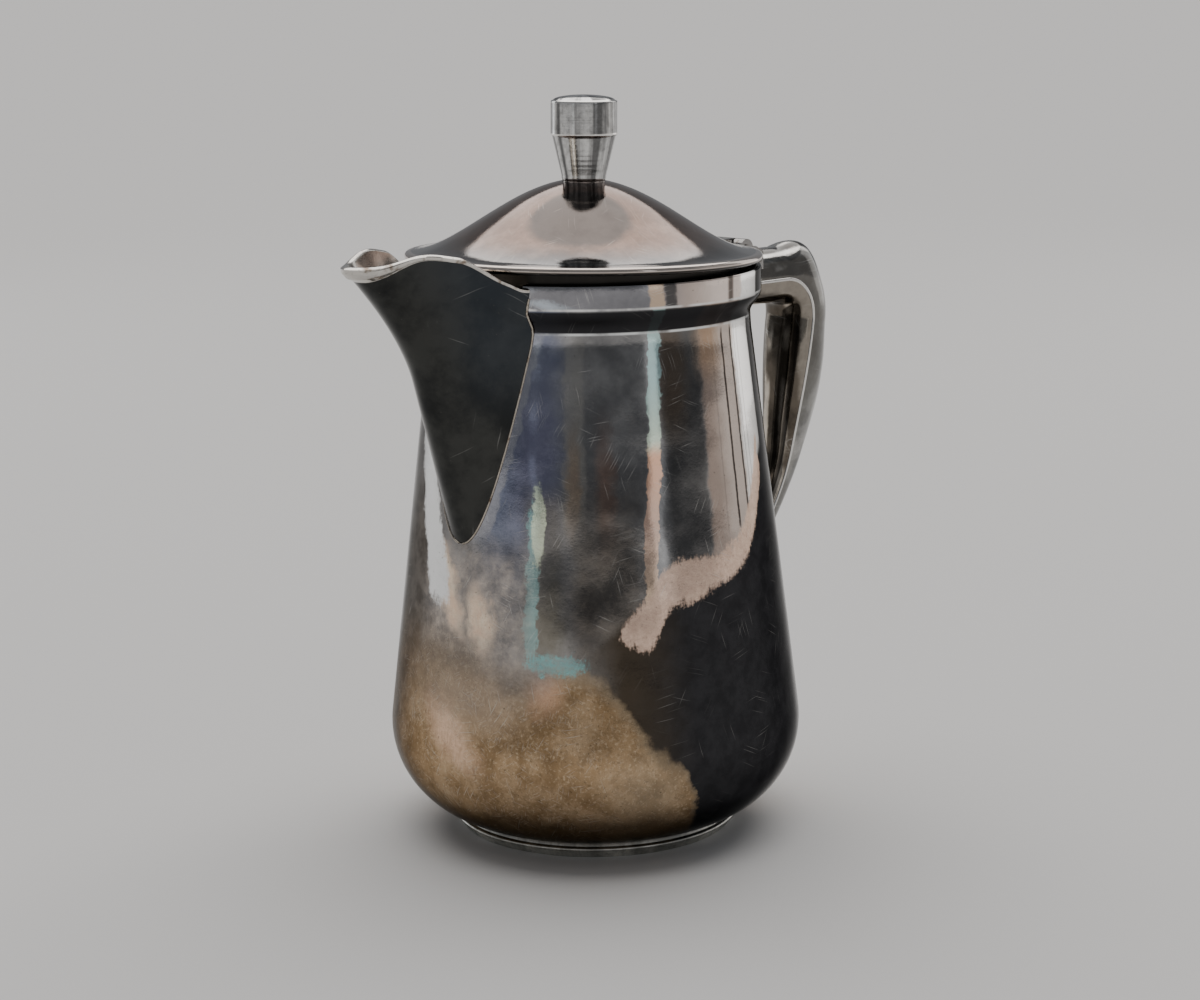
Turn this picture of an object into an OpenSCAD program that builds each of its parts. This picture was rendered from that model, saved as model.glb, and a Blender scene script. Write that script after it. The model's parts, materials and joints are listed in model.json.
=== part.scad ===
// Lidded cream jug in silver-plated sheet: a tapered body on a foot ring, a soldered
// sparrow-beak spout, a hollow two-shell handle and a domed lid that swings on a pin hinge.
// Millimetres. +Z is up, the spout points along -X and the handle along +X.
// The origin is the centre of the foot's resting circle.

/* [Body] */
// Radius of the rounded shoulder at the bottom of the body
shoulder_r = 16.3; // [15.8:0.1:16.8]
// Radius of the circle on which the shoulder's centre lies
shoulder_centre_r = 18.5; // [18:0.1:19]
// Height of the shoulder's centre above the table
shoulder_centre_h = 18; // [17.6:0.1:18.2]
// Outer radius where the tapered wall ends
cone_top_r = 26.76; // [26.5:0.02:27]
// Height where the tapered wall ends
cone_top_h = 85; // [84.6:0.1:85.4]
// Outer radius of the narrow neck
neck_r = 26.65; // [26.4:0.05:26.7]
// Outer radius of the collar round the mouth
collar_r = 28.5; // [28.3:0.05:28.6]
// Height where the collar's straight band starts
collar_low_h = 91.2; // [91:0.1:91.4]
// Height of the mouth's rim
mouth_h = 95.1; // [95:0.05:95.2]
// Thickness of the body's sheet
wall = 1; // [0.8:0.05:1.1]

/* [Foot] */
// Outer radius of the foot ring where it rests
foot_r = 23.2; // [22.8:0.1:23.4]
// Width of the foot ring
foot_w = 2.4; // [2:0.1:3]
// How far the foot ring flares out above its resting edge
foot_flare = 1; // [0.6:0.1:1.2]

/* [Spout] */
// Height of the spout's lowest point on the body
spout_low_h = 53; // [52:0.5:54]
// Half the spout's width at the mouth
spout_half_w = 12; // [11.6:0.1:12.2]
// Distance of the spout's tip from the body's axis, without the thickened edge
spout_tip_x = 53; // [52:0.1:53.5]
// Run of the front edge per millimetre of height, up to where it starts to curl
spout_lean = 0.3; // [0.26:0.01:0.32]
// Height where the front edge starts to curl outward
curl_low_h = 80; // [76:0.5:82]
// How far the tip of the lip rises above the mouth
lip_rise = 4.1; // [3.5:0.1:4.5]
// Extra rise of the side walls behind the tip
lip_crest = 1.5; // [0.5:0.1:1.8]
// How far the lip drops below the mouth's rim where it meets the collar
lip_drop = 0.8; // [0.4:0.1:1]
// Height of the thickened edge at the tip
bead_h = 1.7; // [1.3:0.1:2]
// How far the thickened edge stands out at the tip
bead_out = 0.9; // [0.6:0.1:1.1]
// Thickness of the spout's sheet
spout_t = 1.05; // [0.9:0.05:1.2]

/* [Handle] */
// Height of the side seam along the top arm
arm_h = 88.7; // [88.4:0.1:89]
// Greatest distance of the side seam from the jug's axis
grip_x = 52.25; // [51.8:0.05:52.6]
// Radius of the seam's bend between the top arm and the grip
bend_r = 7; // [6.6:0.1:7.4]
// Lean of the grip towards the body, in degrees
grip_lean = 8.5; // [8:0.1:9]
// Length of the grip's straight stretch
grip_len = 23; // [22:0.5:24]
// Radius of the lower curve
tail_r = 28; // [27:0.5:29]
// Half the width of the grip at its widest
grip_half_w = 5.25; // [4.9:0.05:5.4]
// Half the width of the handle at its lower end
tail_half_w = 2.05; // [1.8:0.05:2.4]
// Thickness of the handle's sheet
shell_t = 0.8; // [0.6:0.05:1]

/* [Hinge] */
// Distance of the hinge axis behind the jug's axis
hinge_x = 35; // [34.8:0.1:35.4]
// Height of the hinge axis
hinge_h = 95; // [94.9:0.05:95.2]
// Radius of the hinge barrel
barrel_r = 1.7; // [1.6:0.05:1.8]
// Radius of the hinge pin
pin_r = 0.75; // [0.7:0.05:0.85]
// Overall length of the hinge barrel
barrel_len = 8.6; // [8:0.2:9.2]
// Length of the lid's knuckle
lid_knuckle_len = 3.9; // [3.6:0.1:4.2]

/* [Lid] */
// Radius of the lid
lid_r = 29.64; // [29.2:0.05:29.8]
// How far the lid sits towards the spout from the body's axis
lid_shift = 1.35; // [1:0.05:1.5]
// Angle by which the lid stands open at rest
lid_rest_angle = 1.3; // [1:0.1:2]
// Height of the rim's underside with the lid level
lid_seat_h = 95.43; // [95.4:0.01:95.6]
// Height of the dome above the lid's rim
dome_h = 11.9; // [11:0.1:13]
// Thickness of the lid's sheet
lid_t = 0.9; // [0.7:0.05:1]
// Outer radius of the inner flange that centres the lid
bezel_r = 25.7; // [25.4:0.1:25.8]

/* [Knob] */
// Radius of the knob's head
knob_r = 5.5; // [5.2:0.1:5.8]
// Radius of the knob's stem where it meets the lid
stem_r = 3.7; // [3.4:0.1:4]
// Height of the conical stem
stem_h = 7.1; // [6:0.1:8]
// Height of the knob's straight head
head_h = 5.6; // [5:0.1:6]
// Radius of the stud that holds the knob
stud_r = 1.25; // [1:0.05:1.5]

/* [Hidden] */

$fn = 96;
solder_gap = 0.04;    // room for solder between pieces of one body
pin_end = 0.2;        // how far the pin stands out of the barrel at each end
running_gap = 0.05;   // radial clearance of the lid's knuckle on the pin
silver = [0.74, 0.72, 0.69];
dark_silver = [0.45, 0.45, 0.44];
warm_silver = [0.78, 0.72, 0.68];

function mix(a, b, t) = a + (b - a) * t;
function clamp01(t) = max(0, min(1, t));
function smooth(lo, hi, x) = let (t = clamp01((x - lo) / (hi - lo))) t * t * (3 - 2 * t);

// ---- Body profile -----------------------------------------------------------------
// The taper is tangent to the shoulder's arc and ends at the neck.
cone_dr = cone_top_r - shoulder_centre_r;
cone_dh = cone_top_h - shoulder_centre_h;
cone_reach = norm([cone_dr, cone_dh]);
taper_a = atan2(cone_dh, cone_dr) - acos(shoulder_r / cone_reach);
shoulder_top_r = shoulder_centre_r + shoulder_r * cos(taper_a);
shoulder_top_h = shoulder_centre_h + shoulder_r * sin(taper_a);
neck_low_h = 87.3;
rim_round = 0.5;
body_floor_h = shoulder_centre_h - shoulder_r;
floor_crown = 0.6;

// Outline of the body at a depth t inside its outer surface, from the shoulder up.
function shoulder_points(t) = [
    for (i = [0 : 24])
        let (a = mix(-90, taper_a, i / 24))
        [shoulder_centre_r + (shoulder_r - t) * cos(a), shoulder_centre_h + (shoulder_r - t) * sin(a)]
];
function neck_points(t) = [
    for (i = [0 : 10])
        let (h = mix(neck_low_h, collar_low_h, i / 10))
        [mix(neck_r, collar_r, (1 - cos(180 * i / 10)) / 2) - t, h + 0.6 * t]
];
function side_points(t) = concat(
    shoulder_points(t),
    [[cone_top_r - t * cos(taper_a), cone_top_h - t * sin(taper_a)]],
    neck_points(t)
);

// Outer radius of the body at height h, above the shoulder's widest point.
function taper_radius(h) =
    mix(shoulder_top_r, cone_top_r, (h - shoulder_top_h) / (cone_top_h - shoulder_top_h));
function neck_radius(h) =
    mix(neck_r, collar_r, (1 - cos(180 * clamp01((h - neck_low_h) / (collar_low_h - neck_low_h)))) / 2);
function body_radius(h) =
    h < cone_top_h ? taper_radius(h)
    : h < neck_low_h ? mix(cone_top_r, neck_r, (h - cone_top_h) / (neck_low_h - cone_top_h))
    : neck_radius(h);

// Radius of the face that is soldered to the body at height h. It stands off a little
// more over the collar's double curve.
function seat_radius(h) =
    body_radius(h) + solder_gap + 0.18 * smooth(86, 88.5, h) * (1 - smooth(91, 93, h));

// Height of the body's underside at radius r, over the foot ring.
function shoulder_underside(r) =
    shoulder_centre_h - sqrt(pow(shoulder_r, 2) - pow(r - shoulder_centre_r, 2));

module body_outline() {
    rim = [[collar_r, mouth_h - rim_round], [collar_r - rim_round, mouth_h]];
    inner = side_points(wall);
    polygon(concat(
        [[0, body_floor_h + floor_crown]],
        side_points(0),
        rim,
        [[collar_r - wall, mouth_h]],
        [for (i = [len(inner) - 1 : -1 : 0]) inner[i]],
        [[0, body_floor_h + floor_crown + wall]]
    ));
}

// ---- Spout ------------------------------------------------------------------------
// The joint on the body is a blunt U seen from the spout's side. Every level of the
// spout is a parabola in plan, from its front edge back to the joint. The last three
// rows make the thickened edge of the lip.
spout_rows = 22;
spout_cols = 24;
bead_rows = 3;
row_crowding = 1.5;  // brings the rows closer together towards the lip
seat_lap = 1.1;      // width of the soldered joint's face
seat_low = 2.2;      // how much higher the inner edge of the joint starts
joint_top_h = mouth_h - lip_drop;
joint_power = 2.2;
lip_power = 6;
lip_span = joint_power * (joint_top_h - spout_low_h) + lip_power * (lip_rise + lip_drop);

function joint_w(u, inset) = (spout_half_w - inset * seat_lap) * u;
function joint_h(u, inset) =
    let (low = spout_low_h + inset * seat_low) low + (joint_top_h - low) * pow(u, joint_power);
curl_power = 1.685;
curl_k =
    (spout_tip_x - body_radius(spout_low_h) - spout_lean * (mouth_h + lip_rise - spout_low_h))
    / pow(mouth_h + lip_rise - curl_low_h, curl_power);
function front_slope(h) = spout_lean + curl_k * curl_power * pow(max(0, h - curl_low_h), curl_power - 1);
function front_x(h, inset) =
    -body_radius(spout_low_h) - spout_lean * (h - spout_low_h)
    - curl_k * pow(max(0, h - curl_low_h), curl_power)
    + inset * spout_t * norm([1, front_slope(h)]);
// Rise of the lip above the joint's top, s running from 0 at the tip to 1 at the joint.
function lip_h(s) =
    lip_drop + lip_rise * (1 - smooth(0.74, 0.98, s))
    + lip_crest * exp(-pow((s - 0.6) / 0.17, 2))
    - lip_drop * smooth(0.92, 1, s);
function bead_size(s) = bead_h * mix(1, 0.25, smooth(0.1, 0.6, s));
function row_u(k, s) =
    let (n = spout_rows - bead_rows, low_u = 1 - 1.3 * bead_size(s) / lip_span)
    k <= n ? low_u * (1 - pow(1 - k / n, row_crowding))
    : k == n + 1 ? 1 - bead_size(s) / lip_span
    : k == n + 2 ? 1 - 0.8 * bead_size(s) / lip_span
    : 1;
function row_bead(k, s) =
    let (n = spout_rows - bead_rows, out = bead_out * pow(1 - s * s, 2))
    k <= n ? 0 : k == n + 1 ? 0.8 * out : k == n + 2 ? out : 0.3 * out;
function spout_point(k, s, inset) =
    let (
        u = row_u(k, abs(s)),
        w = joint_w(u, inset),
        h = joint_h(u, inset),
        back = -sqrt(pow(seat_radius(h), 2) - w * w),
        rise = lip_h(abs(s)) * pow(u, lip_power),
        edge = (1 - inset) * row_bead(k, abs(s)),
        front = min(back, front_x(h + lip_h(0) * pow(u, lip_power), inset) - edge)
    )
    [mix(front, back, s * s), w * s, h + rise];

function spout_skin(inset) = concat(
    [spout_point(0, 0, inset)],
    [
        for (k = [1 : spout_rows], j = [0 : spout_cols])
            spout_point(k, mix(-1, 1, j / spout_cols), inset)
    ]
);
function skin_index(k, j) = k == 0 ? 0 : 1 + (k - 1) * (spout_cols + 1) + j;
skin_size = 1 + spout_rows * (spout_cols + 1);

module spout_solid() {
    outer = [
        for (k = [0 : spout_rows - 1], j = [0 : spout_cols - 1])
            k == 0
            ? [0, skin_index(1, j + 1), skin_index(1, j)]
            : [skin_index(k, j), skin_index(k, j + 1), skin_index(k + 1, j)]
    ];
    outer_upper = [
        for (k = [1 : spout_rows - 1], j = [0 : spout_cols - 1])
            [skin_index(k, j + 1), skin_index(k + 1, j + 1), skin_index(k + 1, j)]
    ];
    inner = [for (f = concat(outer, outer_upper)) [f[2] + skin_size, f[1] + skin_size, f[0] + skin_size]];
    top = [
        for (j = [0 : spout_cols - 1])
            let (a = skin_index(spout_rows, j), b = skin_index(spout_rows, j + 1))
            each [[a, b, b + skin_size], [a, b + skin_size, a + skin_size]]
    ];
    edges = [
        for (k = [0 : spout_rows - 1])
            let (
                a = skin_index(k, 0), b = skin_index(k + 1, 0),
                c = skin_index(k, spout_cols), d = skin_index(k + 1, spout_cols)
            )
            each [
                [a, b, b + skin_size], [a, b + skin_size, a + skin_size],
                [d, c, c + skin_size], [d, c + skin_size, d + skin_size]
            ]
    ];
    polyhedron(
        points = concat(spout_skin(0), spout_skin(1)),
        faces = concat(outer, outer_upper, inner, top, edges)
    );
}

// Opening in the body behind the spout, a little smaller than the joint.
module spout_opening() {
    steps = 24;
    half = [for (i = [0 : steps]) [joint_w(i / steps, 1), joint_h(i / steps, 1)]];
    rotate([90, 0, -90])
        linear_extrude(2 * collar_r)
            polygon(concat(
                half,
                [[joint_w(1, 1), mouth_h + 1], [-joint_w(1, 1), mouth_h + 1]],
                [for (i = [steps : -1 : 1]) [-half[i][0], half[i][1]]]
            ));
}

// ---- Handle -----------------------------------------------------------------------
// The two shells meet on a side seam. Each station on the seam's route has a place,
// a heading, and the depth of the outer and inner shell across it.
arm_start_x = 36;
arm_end_x = grip_x - bend_r;
arm_half_w = 4.5;
arm_outer_d = 5.4;
dip_outer_d = 4.2;     // shallower under the hinge, so that the barrel clears the arm
dip_end_x = 36.8;
dip_rise = 1.8;
arm_inner_d = 4.5;
thumb_outer_d = 8.4;
bend_outer_d = 7.3;
grip_outer_d = 8.2;
tail_outer_d = 3.1;
grip_inner_d = 3.15;
tail_inner_d = 1.4;
bend_centre_h = arm_h - bend_r;
bend_a = 90 + grip_lean;
grip_low_x = arm_end_x + bend_r * sin(bend_a) - grip_len * sin(grip_lean);
grip_low_h = bend_centre_h + bend_r * cos(bend_a) - grip_len * cos(grip_lean);
tail_a = 133;
tail_x = grip_low_x - tail_r * (cos(grip_lean) - cos(tail_a - 90));
tail_h = grip_low_h - tail_r * (sin(tail_a - 90) - sin(grip_lean));
tail_len = 9;

// [x, height, heading in degrees, half width, outer depth, inner depth]
function arm_station(x) = [
    x, arm_h, 0,
    mix(arm_half_w, grip_half_w, smooth(arm_start_x, arm_end_x + 5, x)),
    mix(dip_outer_d, arm_outer_d, smooth(dip_end_x, dip_end_x + dip_rise, x)),
    arm_inner_d
];
function bend_station(a) =
    let (x = arm_end_x + bend_r * sin(a))
    [
        x, bend_centre_h + bend_r * cos(a), -a,
        mix(arm_half_w, grip_half_w, smooth(arm_start_x, arm_end_x + 5, x)),
        mix(arm_outer_d, thumb_outer_d, smooth(4, 38, a)) - mix(0, thumb_outer_d - bend_outer_d, smooth(38, 66, a)),
        mix(arm_inner_d, grip_inner_d, smooth(0, 80, a))
    ];
function low_station(x, h, heading) =
    let (taper = smooth(43, 80, h))
    [
        x, h, heading,
        mix(tail_half_w, grip_half_w, taper),
        mix(tail_outer_d, grip_outer_d, smooth(45, 71, h)) - mix(0, grip_outer_d - bend_outer_d, smooth(73, 81, h)),
        mix(tail_inner_d, grip_inner_d, taper)
    ];
function grip_station(run) =
    low_station(grip_low_x + run * sin(grip_lean), grip_low_h + run * cos(grip_lean), -bend_a);
function curve_station(a) = low_station(
    grip_low_x - tail_r * (cos(grip_lean) - cos(a)),
    grip_low_h - tail_r * (sin(a) - sin(grip_lean)),
    -90 - a
);
function tail_station(run) = low_station(tail_x + run * cos(tail_a), tail_h - run * sin(tail_a), -tail_a);
stations = concat(
    [arm_station(arm_start_x)],
    [for (i = [0 : 4]) arm_station(dip_end_x + dip_rise * i / 4)],
    [for (i = [1 : 3]) arm_station(mix(dip_end_x + dip_rise, arm_end_x - 1, i / 3))],
    [for (i = [0 : 13]) bend_station(bend_a * i / 13)],
    [for (i = [1 : 9]) grip_station(grip_len * (1 - i / 9))],
    [for (i = [1 : 8]) curve_station(mix(grip_lean, tail_a - 90, i / 8))],
    [for (i = [1 : 3]) tail_station(tail_len * i / 3)]
);
arc_steps = 14;

// Half-oval across the handle, from one seam (theta 0) to the other (theta 180).
// side is 1 for the outer shell and -1 for the inner shell.
function shell_offset(st, theta, side, t) =
    let (d = (side > 0 ? st[4] : st[5]) - t, w = st[3] - t)
    [w * cos(theta), side * (solder_gap / 2 + d * pow(sin(theta), 0.9))];
function station_point(st, off) = [
    st[0] - off[1] * sin(st[2]),
    off[0],
    st[1] + off[1] * cos(st[2])
];
// The arm's end runs straight back to the body.
function head_point(st, off) =
    let (p = station_point(st, off))
    [sqrt(pow(seat_radius(p[2]), 2) - p[1] * p[1]), p[1], p[2]];
// The tail's end runs on along its heading to the tapered wall.
function tail_point(st, off) =
    let (
        p = station_point(st, off),
        dir = [cos(st[2]), sin(st[2])],
        slope = (cone_top_r - shoulder_top_r) / (cone_top_h - shoulder_top_h),
        r0 = taper_radius(p[2]) + solder_gap,
        a = dir[0] * dir[0] - pow(slope * dir[1], 2),
        b = p[0] * dir[0] - r0 * slope * dir[1],
        c = p[0] * p[0] + p[1] * p[1] - r0 * r0,
        run = (-b - sqrt(b * b - a * c)) / a
    )
    [p[0] + dir[0] * run, p[1], p[2] + dir[1] * run];

function shell_ring(side) = concat(
    [for (i = [0 : arc_steps]) [180 * i / arc_steps, 0]],
    [for (i = [arc_steps : -1 : 0]) [180 * i / arc_steps, 1]]
);

module handle_shell(side) {
    ring = shell_ring(side);
    n = len(ring);
    last = len(stations) - 1;
    rows = last + 3;
    points = [
        for (k = [0 : rows - 1], q = ring)
            let (
                st = stations[max(0, min(last, k - 1))],
                off = shell_offset(st, q[0], side, q[1] * shell_t)
            )
            k == 0 ? head_point(st, off)
            : k == rows - 1 ? tail_point(st, off)
            : station_point(st, off)
    ];
    walls = [
        for (k = [0 : rows - 2], i = [0 : n - 1])
            let (a = k * n + i, b = k * n + (i + 1) % n, c = a + n, d = b + n)
            each side > 0 ? [[a, c, b], [b, c, d]] : [[a, b, c], [b, d, c]]
    ];
    ends = [
        for (i = [0 : arc_steps - 1])
            let (a = i, b = i + 1, c = n - 1 - i, d = n - 2 - i, z = (rows - 1) * n)
            each side > 0
            ? [[a, b, c], [b, d, c], [a + z, c + z, b + z], [b + z, c + z, d + z]]
            : [[a, c, b], [b, c, d], [a + z, b + z, c + z], [b + z, d + z, c + z]]
    ];
    polyhedron(points = points, faces = concat(walls, ends));
}

// Solid form of the arm's top from x0 to x1, used to fit the hinge bracket to it.
module arm_form(x0, x1) {
    st = arm_station(x1);
    translate([x0, 0, 0])
        rotate([90, 0, 90])
            linear_extrude(x1 - x0)
                polygon([
                    for (i = [0 : 2 * arc_steps])
                        let (off = shell_offset(st, 90 * i / arc_steps, 1, -solder_gap))
                        [off[0], arm_h + off[1]]
                ]);
}

// ---- Lid --------------------------------------------------------------------------
rim_bead_r = 0.65;
flange_r = lid_r - rim_bead_r;
flange_z = 1.35;
bezel_t = 0.8;
bezel_depth = 2.6;
leaf_half_w = 4;
leaf_t = 1.1;
lid_peak_z = flange_z + dome_h;
washer_r = 4.2;
washer_t = 0.7;
nut_r = 2.9;
nut_h = 2;
stud_in_knob = 8;
stud_end = 1;        // length of stud that shows below the nut

// Height of the lid's top at radius r, above the underside of its rim.
function dome_z(r) = flange_z + dome_h * pow(max(0, 1 - pow(r / flange_r, 2)), 1.92);
function under_z(r) = dome_z(r) - lid_t - 0.25 * smooth(8, 16, r) * (1 - smooth(18, 26, r));
dome_steps = 36;
washer_low_z = under_z(washer_r) - washer_t;

// Places a piece drawn about the lid's own axis, with the lid at its rest angle.
module on_lid() {
    translate([hinge_x, 0, hinge_h])
        rotate([0, lid_rest_angle, 0])
            translate([-lid_shift - hinge_x, 0, lid_seat_h - hinge_h])
                children();
}

// Tube along Y about the hinge axis.
module barrel(r, y0, y1) {
    translate([0, y1, 0])
        rotate([90, 0, 0])
            cylinder(r = r, h = y1 - y0);
}

// ---- Pieces -----------------------------------------------------------------------
module body() {
    color(silver)
        difference() {
            rotate_extrude(convexity = 8) body_outline();
            spout_opening();
        }
}

// Foot: a ring of wire whose top follows the body's shoulder.
module foot_ring() {
    foot_in_r = foot_r - foot_w;
    edge = 0.3;
    lip_top_h = 1.9;
    color(dark_silver)
        rotate_extrude()
            polygon(concat(
                [
                    [foot_in_r, edge],
                    [foot_in_r + edge, 0],
                    [foot_r - edge, 0],
                    [foot_r, edge],
                    [foot_r + foot_flare, lip_top_h - 0.5],
                    [foot_r + foot_flare, lip_top_h - 0.25],
                    [foot_r + foot_flare - 0.3, lip_top_h],
                    [foot_r + 0.2, lip_top_h + 0.1]
                ],
                [
                    for (i = [0 : 8])
                        let (r = mix(foot_r, foot_in_r, i / 8))
                        [r, shoulder_underside(r) - solder_gap]
                ]
            ));
}

module spout() {
    color(dark_silver) spout_solid();
}

module handle_outer_shell() {
    color(silver) handle_shell(1);
}

module handle_inner_shell() {
    color(dark_silver) handle_shell(-1);
}

// Two knuckles on cheeks that sit on the arm, with a low fairing behind them.
module hinge_bracket() {
    half = barrel_len / 2;
    inner = lid_knuckle_len / 2 + 0.1;
    fairing_x = 2.05;
    fairing_top = 0.25;
    fairing_len = 2.4;
    cheek_low = arm_h + 2 - hinge_h;
    ridge = arm_h + arm_outer_d - hinge_h;
    difference() {
        color(silver)
            translate([hinge_x, 0, hinge_h])
                union() {
                    for (side = [-1, 1]) {
                        barrel(barrel_r, side > 0 ? inner : -half, side > 0 ? half : -inner);
                        translate([0, side > 0 ? half : -inner, 0])
                            rotate([90, 0, 0])
                                linear_extrude(half - inner)
                                    polygon([
                                        [-barrel_r, cheek_low],
                                        [-barrel_r, 0],
                                        [0, 0.3],
                                        [barrel_r * 0.8, 0.4],
                                        [fairing_x + 0.5, fairing_top],
                                        [fairing_x + 0.5, cheek_low]
                                    ]);
                    }
                    translate([0, half, 0])
                        rotate([90, 0, 0])
                            linear_extrude(2 * half)
                                polygon([
                                    [fairing_x, cheek_low],
                                    [fairing_x, fairing_top],
                                    [fairing_x + 0.5, fairing_top],
                                    [fairing_x + fairing_len, ridge + 0.15],
                                    [fairing_x + fairing_len, cheek_low]
                                ]);
                }
        arm_form(hinge_x - 3, dip_end_x);
        arm_form(dip_end_x, hinge_x + 5);
        translate([hinge_x, 0, hinge_h]) barrel(pin_r, -half - 1, half + 1);
    }
}

module hinge_pin() {
    color(silver)
        translate([hinge_x, 0, hinge_h]) barrel(pin_r, -barrel_len / 2 - pin_end, barrel_len / 2 + pin_end);
}

module lid_cover_outline() {
    polygon(concat(
        [for (i = [0 : dome_steps]) let (r = mix(stud_r + 0.15, flange_r, i / dome_steps)) [r, dome_z(r)]],
        [
            for (a = [80 : -20 : -80])
                [flange_r + rim_bead_r * cos(a), rim_bead_r + rim_bead_r * sin(a)]
        ],
        [[flange_r - 0.2, 0], [flange_r - 0.9, under_z(flange_r)]],
        [for (i = [dome_steps - 2 : -1 : 0]) let (r = mix(stud_r + 0.15, flange_r, i / dome_steps)) [r, under_z(r)]]
    ));
}

module lid_cover() {
    color(warm_silver)
        on_lid() rotate_extrude(convexity = 6) lid_cover_outline();
}

module lid_bezel() {
    in_r = bezel_r - bezel_t;
    color(silver)
        on_lid()
            rotate_extrude()
                polygon([
                    [in_r, -bezel_depth],
                    [bezel_r - 0.2, -bezel_depth],
                    [bezel_r, -bezel_depth + 0.3],
                    [bezel_r, under_z(bezel_r) - solder_gap],
                    [in_r, under_z(bezel_r) - solder_gap]
                ]);
}

// Leaf soldered over the lid's flange, with the middle knuckle of the hinge.
module lid_leaf() {
    hinge_dx = hinge_x + lid_shift;
    hinge_dz = hinge_h - lid_seat_h;
    tongue_x = flange_r - 4.5;
    half_k = lid_knuckle_len / 2;
    wide_end = hinge_dx - barrel_r - 2;
    leaf_low = hinge_dz + barrel_r - leaf_t;
    leaf_top = hinge_dz + barrel_r;
    color(silver)
        on_lid()
            difference() {
                union() {
                    intersection() {
                        translate([0, leaf_half_w, 0])
                            rotate([90, 0, 0])
                                linear_extrude(2 * leaf_half_w)
                                    polygon([
                                        [tongue_x, dome_z(tongue_x) + 0.45],
                                        [flange_r - 2, dome_z(flange_r - 2) + 0.55],
                                        [flange_r + 1, leaf_top + 0.15],
                                        [wide_end, leaf_top],
                                        [wide_end, leaf_low],
                                        [flange_r, leaf_low],
                                        [flange_r - 0.6, flange_z - 0.3],
                                        [tongue_x, flange_z - 0.3]
                                    ]);
                        translate([tongue_x + leaf_half_w, 0, -5])
                            union() {
                                cylinder(r = leaf_half_w, h = 20);
                                translate([0, -leaf_half_w, 0])
                                    cube([20, 2 * leaf_half_w, 20]);
                            }
                    }
                    translate([wide_end - 0.5, -half_k, leaf_low])
                        cube([hinge_dx - wide_end + 0.5, 2 * half_k, leaf_t]);
                    translate([hinge_dx, 0, hinge_dz]) barrel(barrel_r, -half_k, half_k);
                }
                translate([0, 0, -solder_gap / 2])
                    rotate_extrude()
                        polygon(concat(
                            [[0, 0], [0, dome_z(0)]],
                            [
                                for (i = [24 : dome_steps])
                                    let (r = mix(stud_r + 0.15, flange_r, i / dome_steps))
                                    [r, dome_z(r) + solder_gap]
                            ],
                            [
                                for (a = [80 : -20 : -80])
                                    let (r = rim_bead_r + solder_gap) [flange_r + r * cos(a), rim_bead_r + r * sin(a)]
                            ],
                            [[flange_r - 0.2, 0]]
                        ));
                translate([hinge_dx, 0, hinge_dz]) barrel(pin_r + running_gap, -half_k - 1, half_k + 1);
            }
}

// Turned knob: a conical stem that widens into a straight, slightly domed head.
module knob() {
    head_z = lid_peak_z + stem_h;
    top_z = head_z + head_h;
    crown = 0.9;
    color(silver)
        on_lid()
            difference() {
                rotate_extrude()
                    polygon(concat(
                        [for (i = [0 : 6]) let (r = stem_r * i / 6) [r, dome_z(r) + solder_gap]],
                        [
                            [stem_r, lid_peak_z + 0.4],
                            [knob_r - 0.25, head_z - 0.25],
                            [knob_r, head_z],
                            [knob_r, top_z - 0.35],
                            [knob_r - 0.1, top_z - 0.1],
                            [knob_r - 0.4, top_z + 0.1]
                        ],
                        [for (a = [15 : 15 : 90]) [(knob_r - 0.4) * cos(a), top_z + 0.1 + (crown - 0.1) * sin(a)]]
                    ));
                translate([0, 0, lid_peak_z - 1])
                    cylinder(r = stud_r, h = stud_in_knob + 1);
            }
}

module knob_stud() {
    low_z = washer_low_z - solder_gap - nut_h - stud_end;
    color(silver)
        on_lid()
            translate([0, 0, low_z])
                cylinder(r = stud_r, h = lid_peak_z + stud_in_knob - low_z);
}

// Washer under the dome: its top follows the dome and its underside is flat.
module knob_washer() {
    color(silver)
        on_lid()
            rotate_extrude()
                polygon(concat(
                    [for (i = [0 : 4]) let (r = mix(stud_r + 0.1, washer_r, i / 4)) [r, under_z(r) - solder_gap]],
                    [[washer_r, washer_low_z], [stud_r + 0.1, washer_low_z]]
                ));
}

module knob_nut() {
    color(silver)
        on_lid()
            translate([0, 0, washer_low_z - solder_gap - nut_h])
                difference() {
                    cylinder(r = nut_r, h = nut_h, $fn = 6);
                    translate([0, 0, -1]) cylinder(r = stud_r, h = nut_h + 2);
                }
}

body();
foot_ring();
spout();
handle_outer_shell();
handle_inner_shell();
hinge_bracket();
hinge_pin();
lid_cover();
lid_bezel();
lid_leaf();
knob();
knob_stud();
knob_washer();
knob_nut();
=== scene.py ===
import json
import math
from collections import namedtuple

import bmesh
import bpy
import numpy as np
from mathutils import Matrix, Vector


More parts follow.
